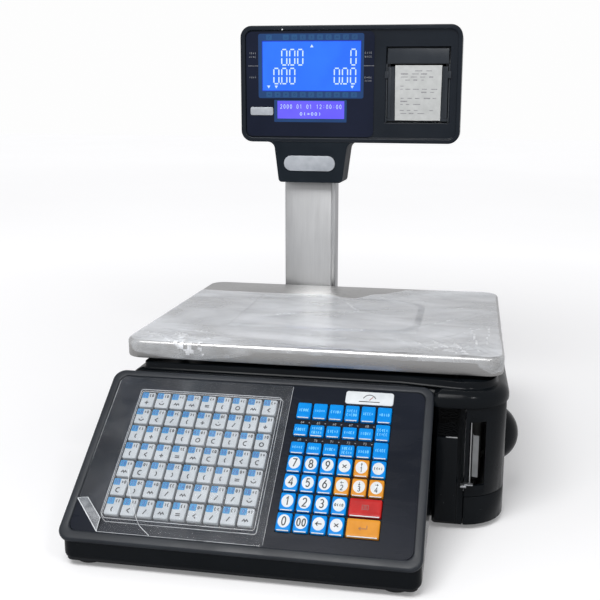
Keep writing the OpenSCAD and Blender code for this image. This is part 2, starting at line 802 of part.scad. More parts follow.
module receipt_door() {
    color([0.12, 0.13, 0.14]) place() difference() {
        union() {
            block([41, 299.4, 368.6], [112.8, 302, 433]);
            for (x = [41, 109]) block([x, 298.8, 372], [x + 3.8, 302, 432]);
            for (x = [41, 109.3]) block([x, 299.4, 368.6], [x + 3.5, 303.4, 373]);
            bar_x(receipt_pin, 1.5, 39, 42);
            bar_x(receipt_pin, 1.5, 112, 114.8);
            block([37.2, 298.2, 419.5], [41.5, 300, 427.5]);
            block([112.3, 298.2, 419.5], [116.6, 300, 427.5]);
        }
    }
}

module receipt_paper() {
    color("white") place()
        wall_yz([[303.2, 434.4], [298.4, 434.4], [297.9, 369.3], [298.15, 369.3], [298.65, 434],
            [303.2, 434.1]], receipt_x[0], receipt_x[1]);
}

module receipt_roll() {
    color("whitesmoke") place() difference() {
        bar_x(receipt_axis, receipt_roll_r, receipt_x[0], receipt_x[1]);
        bar_x(receipt_axis, 5 + run_gap, receipt_x[0] - overcut, receipt_x[1] + overcut);
    }
}

module receipt_platen() {
    color([0.15, 0.15, 0.15]) place() {
        bar_x(receipt_platen_at, 3, 49, 106);
        bar_x(receipt_platen_at, 1.5, bay_x[0] + 0.5, bay_x[1] - 0.5);
    }
}

base_tray();
body_housing();
corner_panel();
body_screws();
keypad_housing();
keypad_bezel();
key_plate();
key_cover();
keypad_board();
load_cell();
load_cell_blocks();
pan_carrier();
carrier_pads();
main_board();
power_supply();
power_inlet();
io_ports();
printer_chassis();
label_print_head();
peel_bar();
label_strip();
door_hinge_pin();
pole_bracket();
pole();
neck();
head_rear();
head_front();
display_window();
main_lcd();
date_lcd();
display_board();
blank_plates();
rear_window();
receipt_mechanism();
receipt_hood();
foot(foot_at[0]);  // foot_front_left
foot(foot_at[1]);  // foot_front_right
foot(foot_at[2]);  // foot_rear_left
foot(foot_at[3]);  // foot_rear_right
pan();
pan_film();
printer_door();
door_knob();
label_roll();
label_platen();
power_switch();
receipt_door();
receipt_paper();
receipt_roll();
receipt_platen();
caps(PLU, "whitesmoke");  // plu_keys
caps(FUNCTION, "dodgerblue");  // function_keys
caps(COMMAND, "deepskyblue");  // command_keys
caps(wide_key(1), "crimson");  // wide_red_key
caps(wide_key(0), "orange");  // wide_orange_key
caps(digit_row(3), "dodgerblue");  // digit_keys_789
caps(digit_row(2), "dodgerblue");  // digit_keys_456
caps(digit_row(1), "dodgerblue");  // digit_keys_123
caps(ZERO, "dodgerblue");  // key_zero
caps(DOUBLE_ZERO, "dodgerblue");  // key_double_zero
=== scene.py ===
"""Looks of a counter scale: platter, keypad deck, side label printer and a display head on a pole.

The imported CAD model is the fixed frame. Pieces are laid out in millimetres, with x right of the
platter's middle, y behind its front edge and z above the counter, or in the keypad deck's own
u, s, n: right, up the slope and away from it.
"""

import json
import math
import random

import bmesh
import bpy
from mathutils import Matrix, Vector, noise


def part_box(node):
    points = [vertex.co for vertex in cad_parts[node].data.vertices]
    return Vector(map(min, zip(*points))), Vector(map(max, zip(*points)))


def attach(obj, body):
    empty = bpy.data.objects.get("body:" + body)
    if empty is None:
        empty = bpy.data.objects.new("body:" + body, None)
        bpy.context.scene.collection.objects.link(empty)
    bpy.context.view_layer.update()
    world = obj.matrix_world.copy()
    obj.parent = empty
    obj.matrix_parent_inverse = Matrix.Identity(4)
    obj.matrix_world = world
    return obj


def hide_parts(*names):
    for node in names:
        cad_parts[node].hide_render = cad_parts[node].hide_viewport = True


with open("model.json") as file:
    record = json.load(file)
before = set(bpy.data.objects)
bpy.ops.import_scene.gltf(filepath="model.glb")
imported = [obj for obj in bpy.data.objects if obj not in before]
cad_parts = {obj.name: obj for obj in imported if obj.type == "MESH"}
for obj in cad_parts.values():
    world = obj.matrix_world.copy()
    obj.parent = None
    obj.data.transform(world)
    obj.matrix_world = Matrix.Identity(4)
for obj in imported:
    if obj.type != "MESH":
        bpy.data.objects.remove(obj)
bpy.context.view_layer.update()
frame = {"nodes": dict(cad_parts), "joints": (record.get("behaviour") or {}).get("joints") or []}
CAD = frame["nodes"]
MM = 0.001
SHARP = math.radians(32)


# ---- places ---------------------------------------------------------------

pan_low, pan_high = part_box("pan")
ORIGIN = Vector(((pan_low.x + pan_high.x) / 2, pan_low.y, 0))


def body_at(x, y, z):
    """Point x right of the platter's middle, y behind its front edge and z above the counter."""
    return ORIGIN + Vector((x, y, z)) * MM


def span(node):
    """Lowest and highest corner of a CAD node, in millimetres from the layout's origin."""
    low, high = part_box(node)
    return (low - ORIGIN) / MM, (high - ORIGIN) / MM


PRESS = next(j["axis"] for j in frame["joints"] if j["name"] == "plu_keys_press")
TILT = math.atan2(PRESS[1], -PRESS[2])
BEZEL_T = 4
rim_low, rim_high = span("keypad_bezel")
DECK_Z = rim_low.z + BEZEL_T * math.cos(TILT)
DECK_W = rim_high.x - rim_low.x
DECK_LEN = (rim_high.z - DECK_Z) / math.sin(TILT)
DECK = Matrix.Translation(body_at(rim_low.x, rim_low.y, DECK_Z)) @ Matrix.Rotation(TILT, 4, "X")


def deck_at(u, s, n):
    """Point u right of the deck's left edge, s up the slope and n away from the rim's face."""
    return DECK @ (Vector((u, s, n)) * MM)


FACE_Y = span("display_window")[0].y


def head_at(x, z, out):
    """Point on the head's front overlay, moved out of it towards the viewer."""
    return body_at(x, FACE_Y - out, z)


# ---- outlines and solids ---------------------------------------------------

def arc(centre, r, start, stop, steps):
    """Points on an arc, angles in degrees; r is one radius or a pair."""
    rx, ry = r if isinstance(r, tuple) else (r, r)
    angles = [math.radians(start + (stop - start) * i / steps) for i in range(steps + 1)]
    return [(centre[0] + rx * math.cos(a), centre[1] + ry * math.sin(a)) for a in angles]


def quarter(steps, first=0):
    """Sine and cosine at steps along a quarter turn, for the profile of a rounded edge."""
    angles = [math.pi / 2 * k / steps for k in range(first, steps + 1)]
    return [(math.sin(t), math.cos(t)) for t in angles]


def rounded(points, radii, steps):
    """Closed outline whose corners are rounded, by one radius or by a radius for each corner."""
    out = []
    for i, corner in enumerate(points):
        b = Vector(corner)
        to_a = (Vector(points[i - 1]) - b).normalized()
        to_c = (Vector(points[(i + 1) % len(points)]) - b).normalized()
        r = max(radii[i] if isinstance(radii, (list, tuple)) else radii, 0.02)
        half = to_a.angle(to_c) / 2
        centre = b + (to_a + to_c).normalized() * r / math.sin(half)
        first = b + to_a * r / math.tan(half) - centre
        last = b + to_c * r / math.tan(half) - centre
        start = math.atan2(first.y, first.x)
        turn = (math.atan2(last.y, last.x) - start + 3 * math.pi) % (2 * math.pi) - math.pi
        for k in range(steps + 1):
            a = start + turn * k / steps
            out.append((centre.x + r * math.cos(a), centre.y + r * math.sin(a)))
    return out


def rect(x0, y0, x1, y1, r, steps):
    """Outline function of a rounded rectangle: it takes an inset and gives the outline."""
    def outline(inset):
        corners = [(x0 + inset, y0 + inset), (x1 - inset, y0 + inset),
                   (x1 - inset, y1 - inset), (x0 + inset, y1 - inset)]
        return rounded(corners, max(r - inset, 0.02), steps)
    return outline


class Solid:
    """Collects closed shells for one mesh. Each shell names its own material."""

    def __init__(self):
        self.verts = []
        self.faces = []
        self.looks = []
        self.used = []

    def add(self, points, faces, look):
        base = len(self.verts)
        if look not in self.used:
            self.used.append(look)
        self.verts += points
        self.faces += [[base + i for i in f] for f in faces]
        self.looks += [self.used.index(look)] * len(faces)

    def loft(self, rings, look, loop=False, cap=True):
        """Skin over rings of points: loop joins last to first, else cap closes both ends."""
        n = len(rings[0])
        faces = []
        for k in range(len(rings) if loop else len(rings) - 1):
            a, b = k * n, (k + 1) % len(rings) * n
            faces += [[a + i, a + (i + 1) % n, b + (i + 1) % n, b + i] for i in range(n)]
        if cap and not loop:
            faces += [list(range(n))[::-1], [(len(rings) - 1) * n + i for i in range(n)]]
        self.add([p for ring in rings for p in ring], faces, look)

    def stack(self, outline, place, profile, look, **ends):
        """Skin over copies of an outline; profile holds the inset and height of each."""
        self.loft([[place(x, y, h) for x, y in outline(i)] for i, h in profile], look, **ends)

    def slab(self, outline, place, low, high, look, edge=0.0, edge_low=None):
        """Plate between two heights above a plane, with rounded edges. outline takes an inset."""
        edge_low = edge if edge_low is None else edge_low
        profile = []
        for e, base, way in ((edge_low, low, 1), (edge, high, -1)):
            turn = [(e * (1 - a), base + way * e * (1 - b)) for a,
                    b in quarter(3)] if e else [(0, base)]
            profile += turn[::way]
        self.stack(outline, place, profile, look)

    def ribbon(self, points, width, place, low, high, look, closed=False):
        """Flat stroke of the given width along a line of points."""
        pts = [Vector(p) for p in points]
        sides = []
        for i, p in enumerate(pts):
            before = pts[i - 1] if i or closed else p
            after = pts[(i + 1) % len(pts)] if i < len(pts) - 1 or closed else p
            d_in = (p - before).normalized() if before != p else (after - p).normalized()
            d_out = (after - p).normalized() if after != p else d_in
            mid = (d_in + d_out).normalized() if (d_in + d_out).length > 1e-6 else d_out
            reach = width / 2 / max(mid.dot(d_in), 0.5)
            side = Vector((-mid.y, mid.x)) * reach
            sides.append((p + side, p - side))
        rings = [[place(*a, low), place(*b, low), place(*b, high), place(*a, high)]
                 for a, b in sides]
        self.loft(rings, look, loop=closed)

    def mesh(self, name):
        mesh = bpy.data.meshes.new(name)
        mesh.from_pydata([tuple(v) for v in self.verts], [], self.faces)
        return mesh

    def piece(self, name, body, slot, replaces=()):
        """Makes the mesh, gives it its materials and rides it on its body."""
        mesh = self.mesh(name)
        for look in self.used:
            mesh.materials.append(look)
        mesh.polygons.foreach_set("material_index", self.looks)
        mesh.polygons.foreach_set("use_smooth", [True] * len(self.faces))
        mesh.validate()
        piece = add_object(name, mesh)
        tidy_normals(mesh)
        mesh.set_sharp_from_angle(angle=SHARP)
        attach(piece, body)
        if replaces:
            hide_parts(*replaces)
        return piece


def add_object(name, data):
    """New object in the scene for a mesh, lamp or camera."""
    new = bpy.data.objects.new(name, data)
    bpy.context.scene.collection.objects.link(new)
    return new


def tidy_normals(mesh):
    """Points every face outwards."""
    b = bmesh.new()
    b.from_mesh(mesh)
    bmesh.ops.recalc_face_normals(b, faces=b.faces)
    b.to_mesh(mesh)
    b.free()


def soften(piece, width, segments, degrees):
    """Bevels edges that turn by more than this many degrees; returns the modifier."""
    soft = piece.modifiers.new("soft_edges", "BEVEL")
    soft.width = width * MM
    soft.segments = segments
    soft.limit_method = "ANGLE"
    soft.angle_limit = math.radians(degrees)
    return soft


# ---- materials --------------------------------------------------------------

def set_stops(node, stops):
    """Fills a colour ramp; each stop is (place, value), its value a number or a colour."""
    ramp = node.color_ramp
    while len(ramp.elements) < len(stops):
        ramp.elements.new(0.5)
    for element, (place, value) in zip(ramp.elements, stops):
        element.position = place
        element.color = (*value, 1) if isinstance(value, tuple) else (value, value, value, 1)


class Look:
    """One procedural material on a Principled shader, in the piece's own coordinates."""

    def __init__(self, name, **constants):
        self.material = bpy.data.materials.new(name)
        self.material.use_nodes = True
        self.tree = self.material.node_tree
        self.shader = self.tree.nodes["Principled BSDF"]
        self.where = self.node("TexCoord").outputs["Object"]
        for socket, value in constants.items():
            self.shader.inputs[socket.replace("_", " ")].default_value = value

    def node(self, kind, **constants):
        """New node with some of its inputs set."""
        node = self.tree.nodes.new("ShaderNode" + kind)
        for socket, value in constants.items():
            node.inputs[socket].default_value = value
        return node

    def feed(self, socket, value):
        """Sets an input to a number or a colour, or links an output into it."""
        if isinstance(value, (int, float)):
            socket.default_value = value
        elif isinstance(value, tuple):
            socket.default_value = (*value, 1)
        else:
            self.tree.links.new(value, socket)

    def noise(self, size, detail=2, stretch=(1, 1, 1), rough=0.5, twist=0):
        """Noise with features of about this many millimetres."""
        node = self.node("TexNoise", Scale=1 / (size * MM), Detail=detail, Roughness=rough,
                         Distortion=twist)
        spread = self.node("Mapping", Scale=stretch)
        self.feed(spread.inputs["Vector"], self.where)
        self.feed(node.inputs["Vector"], spread.outputs[0])
        return node.outputs["Fac"]

    def ramp(self, factor, *stops):
        """Blend of colours or numbers over a factor."""
        node = self.node("ValToRGB")
        set_stops(node, stops)
        self.feed(node.inputs[0], factor)
        return node.outputs[0]

    def maths(self, kind, a, b=0.0):
        node = self.node("Math")
        node.operation = kind
        self.feed(node.inputs[0], a)
        self.feed(node.inputs[1], b)
        return node.outputs[0]

    def mix(self, factor, a, b, kind="MIX"):
        node = self.node("Mix")
        node.data_type = "RGBA"
        node.blend_type = kind
        for socket, value in ((0, factor), (6, a), (7, b)):
            self.feed(node.inputs[socket], value)
        return node.outputs[2]

    def drive(self, socket, value):
        self.feed(self.shader.inputs[socket], value)

    def bump(self, height, depth):
        """Surface relief of about this many millimetres."""
        node = self.node("Bump", Distance=depth * MM)
        self.feed(node.inputs["Height"], height)
        self.drive("Normal", node.outputs[0])


def moulded(name, dark, light, gloss, cloud=40, grain=0.8, depth=0.01, **constants):
    """Plastic, paint or metal: cloudy colour, uneven gloss and a fine surface grain."""
    look = Look(name, **constants)
    look.drive("Base Color", look.ramp(look.noise(cloud, 4), (0.3, dark), (0.7, light)))
    look.drive("Roughness", look.ramp(look.noise(cloud * 0.6, 5), (0.3, gloss[0]), (0.7, gloss[1])))
    look.bump(look.noise(grain, 2), depth)
    return look.material


def dusty_black(name, dark, light, gloss, **constants):
    """Glossy dark moulding with faint wipe marks and a few specks of dust."""
    look = Look(name, **constants)
    base = look.ramp(look.noise(60, 4), (0.3, dark), (0.7, light))
    specks = look.ramp(look.noise(1.6, 2), (0.74, 0.0), (0.78, 1.0))
    patches = look.ramp(look.noise(28, 3), (0.5, 0.0), (0.75, 0.5))
    dust = look.maths("MULTIPLY", specks, patches)
    look.drive("Base Color", look.mix(dust, base, (0.16, 0.17, 0.18)))
    wipes = look.noise(16, 4, (0.25, 1, 1), twist=0.6)
    look.drive("Roughness", look.ramp(wipes, (0.35, gloss[0]), (0.7, gloss[1])))
    look.bump(look.noise(1.1, 2), 0.012)
    return look.material


def film_look(name, tint, clear, veil, gloss, cloud, glint_streaks=0.0, relief=0.1, **constants):
    """Thin clear sheet: mostly see-through, with a milky veil and perhaps a few bright streaks of
    painted glint.
    """
    look = Look(name, **constants)
    look.drive("Base Color", look.ramp(look.noise(30, 3), (0.35, tint), (0.7, (0.90, 0.92, 0.95))))
    haze = look.ramp(look.noise(cloud, 3, (0.7, 1.3, 1), twist=0.5), (0.38, clear), (0.66, veil))
    if glint_streaks:
        # Painted glint: thin whiter, more opaque streaks along narrow noise lines
        ridge = look.noise(cloud * 0.6, 2, (1, 0.5, 1), twist=1.2)
        line = look.ramp(look.maths("ABSOLUTE", look.maths("SUBTRACT", ridge, 0.5)), (0.0, 1.0),
                         (0.008, 0.0))
        where = look.ramp(look.noise(cloud, 2), (0.55, 0.0), (0.66, glint_streaks))
        haze = look.maths("MAXIMUM", haze, look.maths("MULTIPLY", line, where))
    look.drive("Alpha", haze)
    look.drive("Roughness", look.ramp(look.noise(9, 3), (0.3, gloss[0]), (0.7, gloss[1])))
    look.bump(look.noise(14, 4, (1, 0.6, 1), twist=0.8), relief)
    return look.material


def backlit(name, colour, edge, strength):
    """Lit display: soft uneven glow with a fine grid of cells."""
    look = Look(name, Emission_Strength=strength, Roughness=0.22)
    glow = look.ramp(look.noise(45, 2), (0.3, edge), (0.7, colour))
    cells = look.node("TexChecker", Scale=1 / (0.5 * MM))
    look.feed(cells.inputs["Vector"], look.where)
    grid = look.maths("MULTIPLY", cells.outputs["Fac"], 0.08)
    look.drive("Emission Color", look.mix(grid, glow, (0.0, 0.0, 0.0)))
    look.drive("Base Color", look.mix(0.75, glow, (0.0, 0.0, 0.02)))
    look.bump(look.noise(20, 2), 0.02)
    return look.material


def thermal_paper(name):
    """Pale grey-white paper with faint fibres."""
    look = Look(name, Roughness=0.85)
    dark, light = (0.40, 0.41, 0.405), (0.46, 0.47, 0.465)
    look.drive("Base Color", look.ramp(look.noise(7, 5), (0.3, dark), (0.7, light)))
    look.bump(look.noise(0.7, 5, rough=0.7), 0.03)
    return look.material


def brushed(name, dark, light, gloss, stretch, **constants):
    """Metal with fine brush marks along one way."""
    look = Look(name, Metallic=1.0, **constants)
    marks = look.noise(1.2, 4, stretch, rough=0.65)
    cloud = look.noise(90, 3)
    look.drive("Base Color", look.mix(0.5, look.ramp(marks, (0.3, dark), (0.7, light)),
                                      look.ramp(cloud, (0.3, dark), (0.7, light))))
    look.drive("Roughness", look.ramp(marks, (0.3, gloss[0]), (0.7, gloss[1])))
    look.bump(marks, 0.01)
    return look.material


def pressed_groove(name):
    """Steel in a pressed groove, in deep shade at the platter's right, fading away to its left."""
    look = Look(name, Metallic=1.0)
    split = look.node("SeparateXYZ")
    look.feed(split.inputs[0], look.where)
    lit_end, fade = ORIGIN.x - 0.02, 0.115
    across = look.maths("DIVIDE", look.maths("SUBTRACT", split.outputs["X"], lit_end), fade)
    marks = look.noise(1.2, 4, (0.03, 1, 1), rough=0.65)
    shade = look.ramp(across, (0.0, (0.47, 0.467, 0.46)), (0.85, (0.02, 0.021, 0.025)))
    scratches = look.ramp(marks, (0.3, 0.2), (0.7, 0.9))
    look.drive("Base Color", look.mix(0.3, shade, scratches, "MULTIPLY"))
    look.drive("Roughness", look.ramp(marks, (0.3, 0.24), (0.7, 0.38)))
    look.bump(marks, 0.01)
    return look.material


BLACK = dusty_black("gloss_black", (0.0032, 0.0042, 0.0055), (0.0052, 0.0066, 0.0082), (0.14, 0.28),
                    Specular_IOR_Level=0.12)
NECK = moulded("neck_black", (0.009, 0.0125, 0.017), (0.013, 0.0175, 0.023), (0.35, 0.5), grain=0.5,
               Specular_IOR_Level=0.05)
SATIN = moulded("satin_black", (0.006, 0.007, 0.009), (0.011, 0.012, 0.014), (0.4, 0.6), grain=0.5,
                depth=0.03,
                Specular_IOR_Level=0.2)
RIM = moulded("deck_rim", (0.012, 0.0145, 0.019), (0.020, 0.024, 0.030), (0.30, 0.44), depth=0.01,
              Specular_IOR_Level=0.3)
PLATE = dusty_black("navy_plate", (0.0065, 0.0085, 0.014), (0.010, 0.0125, 0.020), (0.22, 0.36),
                    Specular_IOR_Level=0.1)
NAVY = dusty_black("navy_gloss", (0.0052, 0.0080, 0.019), (0.0080, 0.0112, 0.026), (0.12, 0.22),
                   Specular_IOR_Level=0.16)
HEAD = dusty_black("head_grey", (0.0075, 0.0105, 0.0155), (0.0115, 0.0150, 0.0205), (0.15, 0.28),
                   Specular_IOR_Level=0.18)
HOOD = moulded("hood_grey", (0.015, 0.019, 0.025), (0.026, 0.031, 0.038), (0.3, 0.45),
               Specular_IOR_Level=0.25)
STEEL = brushed("stainless", (0.47, 0.467, 0.46), (0.61, 0.605, 0.595), (0.24, 0.38), (0.03, 1, 1))
GROOVE = pressed_groove("pressed_groove")
SILVER = brushed("satin_aluminium", (0.52, 0.525, 0.53), (0.64, 0.645, 0.65), (0.40, 0.52),
                 (1, 1, 0.03))
ZINC = brushed("zinc_steel", (0.38, 0.39, 0.41), (0.55, 0.56, 0.58), (0.3, 0.5), (0.2, 1, 1))
BADGE = moulded("plate_silver", (0.36, 0.385, 0.42), (0.45, 0.475, 0.51), (0.3, 0.42), cloud=9,
                depth=0.02,
                Metallic=0.35)
# Pale grey painted glint for the top edge of the ledge beside the printer
GLINT_EDGE = moulded("ledge_painted_glint", (0.16, 0.165, 0.17), (0.32, 0.325, 0.33), (0.3, 0.45), cloud=6)
BOARD = moulded("board_green", (0.008, 0.07, 0.03), (0.02, 0.12, 0.05), (0.3, 0.5), cloud=6)
RUBBER = moulded("rubber_black", (0.008, 0.008, 0.008), (0.016, 0.016, 0.016), (0.7, 0.85),
                 depth=0.04)
PAPER = thermal_paper("paper_white")
# Label paper in the slot, given a darker grey as painted shade
LABEL_SHADE = moulded("label_paper_painted_shade", (0.13, 0.135, 0.14), (0.18, 0.185, 0.19), (0.5, 0.65), cloud=12)
PRINT = moulded("print_grey", (0.19, 0.19, 0.20), (0.30, 0.30, 0.31), (0.7, 0.9), cloud=1.5,
                depth=0.002)
SWITCH = moulded("switch_red", (0.20, 0.005, 0.005), (0.32, 0.01, 0.01), (0.2, 0.3))
GREY_KEY = moulded("key_grey", (0.42, 0.455, 0.485), (0.49, 0.525, 0.555), (0.35, 0.5), cloud=14,
                   depth=0.008,
                   Specular_IOR_Level=0.3)
TAG = moulded("key_tag_blue", (0.018, 0.20, 0.43), (0.035, 0.26, 0.54), (0.35, 0.5), cloud=7,
              depth=0.004,
              Specular_IOR_Level=0.2)
TAG_INK = moulded("tag_ink", (0.004, 0.06, 0.28), (0.010, 0.09, 0.36), (0.4, 0.5),
                  cloud=3, depth=0.002)
INK = moulded("key_ink", (0.012, 0.014, 0.02), (0.03, 0.033, 0.04), (0.4, 0.55),
              cloud=3, depth=0.002)
BLUE_KEY = moulded("key_blue", (0.0, 0.195, 0.60), (0.001, 0.24, 0.69), (0.25, 0.38), cloud=11,
                   depth=0.006,
                   Specular_IOR_Level=0.08)
CYAN_INK = moulded("key_cyan_ink", (0.10, 0.48, 0.86), (0.16, 0.58, 0.92), (0.35, 0.5), cloud=3,
                   depth=0.002)
ORANGE_KEY = moulded("key_orange", (0.56, 0.215, 0.014), (0.66, 0.27, 0.024), (0.25, 0.38),
                     cloud=11, depth=0.006,
                     Specular_IOR_Level=0.15)
BROWN_INK = moulded("key_brown_ink", (0.30, 0.11, 0.02), (0.40, 0.16, 0.03), (0.4, 0.55), cloud=3,
                    depth=0.002)
RED_KEY = moulded("key_red", (0.38, 0.010, 0.010), (0.47, 0.015, 0.013), (0.25, 0.38), cloud=11,
                  depth=0.006,
                  Specular_IOR_Level=0.15)
DEEP_RED = moulded("key_deep_red", (0.24, 0.016, 0.012), (0.30, 0.022, 0.015), (0.3, 0.45), cloud=5,
                   depth=0.004)
# Pale white of key faces and plates; also used for painted highlights along the clear cover's fold,
# flap and crack
WHITE_FACE_AND_HIGHLIGHT = moulded("white_face_and_painted_highlight", (0.56, 0.59, 0.61), (0.64, 0.67, 0.69), (0.35, 0.5), cloud=8,
                     depth=0.004)
LABEL_INK = moulded("label_ink", (0.20, 0.21, 0.23), (0.32, 0.33, 0.35), (0.4, 0.5), cloud=2,
                    depth=0.002)
LCD = backlit("lcd_blue", (0.016, 0.158, 0.94), (0.010, 0.122, 0.83), 0.93)
LCD_VIOLET = backlit("lcd_violet", (0.13, 0.105, 0.92), (0.10, 0.075, 0.84), 0.93)
LCD_FRAME = backlit("lcd_frame", (0.004, 0.055, 0.175), (0.003, 0.040, 0.135), 0.62)
LCD_ICON = backlit("lcd_icon", (0.012, 0.085, 0.215), (0.010, 0.065, 0.17), 0.7)
LCD_DARK = backlit("lcd_border", (0.006, 0.030, 0.48), (0.004, 0.022, 0.38), 0.9)
SEGMENT = backlit("lcd_segment", (0.56, 0.72, 1.0), (0.50, 0.66, 0.98), 1.0)
PAN_FILM = film_look("pan_film", (0.86, 0.89, 0.93), 0.34, 0.66, (0.10, 0.24), 75, 0.6, 0.25)
# Whiter, more opaque film for faces on high folds: painted glint
FILM_FOLD_GLINT = film_look("pan_film_fold_glint", (0.88, 0.90, 0.93), 0.46, 0.80, (0.10, 0.24), 9)
FILM_SKIRT = film_look("pan_film_skirt", (0.66, 0.69, 0.72), 0.10, 0.34, (0.12, 0.26), 16, 0.7, 0.2)
COVER = film_look("clear_cover", (0.50, 0.55, 0.60), 0.035, 0.07, (0.06, 0.14), 60,
                  Specular_IOR_Level=0.3)
# Painted highlights along the clear cover's moulded edges
COVER_HIGHLIGHT = film_look("clear_edge_painted_highlight", (0.70, 0.74, 0.78), 0.30, 0.50, (0.08, 0.2), 18)
COVER_FLAP = film_look("clear_flap", (0.50, 0.54, 0.58), 0.12, 0.24, (0.12, 0.25), 12,
                       Specular_IOR_Level=0.2)


def refine(node, look, bevel, segments):
    """Keeps a CAD node, gives it a finish and softens its edges."""
    piece = CAD[node]
    piece.data.materials.clear()
    piece.data.materials.append(look)
    piece.data.polygons.foreach_set("material_index", [0] * len(piece.data.polygons))
    if bevel:
        weld = piece.modifiers.new("weld", "WELD")
        weld.merge_threshold = 0.01 * MM
        flat = piece.modifiers.new("flat", "DECIMATE")
        flat.decimate_type = "DISSOLVE"
        flat.angle_limit = math.radians(1)
        soften(piece, bevel, segments, 34).harden_normals = True
        piece.data.polygons.foreach_set("use_smooth", [True] * len(piece.data.polygons))
    return piece


# ---- body -------------------------------------------------------------------

shell_low, shell_high = span("body_housing")
WALL = 3
LIP_OUT = 1.8
LIP_Z = 118
SHOULDER_Z = 133
COLLAR_IN = 10
COLLAR_BACK = 305
CORNER_R = 42
BACK_R = 30
JOIN_X = 121
JOIN_Y = -5
BODY_LEFT = -173
BODY_RIGHT = 188
BODY_BACK_RIGHT = 180
BODY_FRONT = -18
BODY_BACK = 345


def body_outline(i):
    """Plan of the body's wall, moved in by i."""
    back_r = BACK_R - i
    return rounded(
        [(BODY_LEFT + i, JOIN_Y + i), (JOIN_X + i, JOIN_Y + i), (JOIN_X + i, BODY_FRONT + i),
         (BODY_RIGHT - i, BODY_FRONT + i), (BODY_BACK_RIGHT - i, BODY_BACK - i),
         (BODY_LEFT + i, BODY_BACK - i)],
        [max(8 - i, 1), max(1.5 + i, 0.2), max(4 - i, 1), CORNER_R - i, back_r, back_r], 14)


def collar_outline(i):
    """Plan of the raised collar under the platter."""
    c = COLLAR_IN + i
    return rounded(
        [(BODY_LEFT + c, JOIN_Y + 6 + i), (JOIN_X - 30, JOIN_Y + 6 + i),
         (JOIN_X + 22, BODY_FRONT + c), (BODY_RIGHT - c, BODY_FRONT + c),
         (BODY_BACK_RIGHT - c, COLLAR_BACK - i), (BODY_LEFT + c, COLLAR_BACK - i)],
        [8 - i, 60, 60, CORNER_R - c, 12 - i, 12 - i], 14)


def cut(piece, boxes):
    """Cuts boxes out of a piece; each is a low and a high corner in the layout's millimetres."""
    cutter = Solid()
    for (x0, y0, z0), (x1, y1, z1) in boxes:
        cutter.slab(rect(x0, y0, x1, y1, 0.02, 1), body_at, z0, z1, BLACK)
    tool = add_object("cutter", cutter.mesh("cutter"))
    tidy_normals(tool.data)
    boolean = piece.modifiers.new("cut", "BOOLEAN")
    boolean.object = tool
    boolean.operation = "DIFFERENCE"
    boolean.solver = "EXACT"
    boolean.use_self = True
    bpy.context.view_layer.update()
    evaluated = piece.evaluated_get(bpy.context.evaluated_depsgraph_get())
    done = bpy.data.meshes.new_from_object(evaluated)
    piece.modifiers.clear()
    piece.data = done
    done.set_sharp_from_angle(angle=SHARP)
    bpy.data.objects.remove(tool)


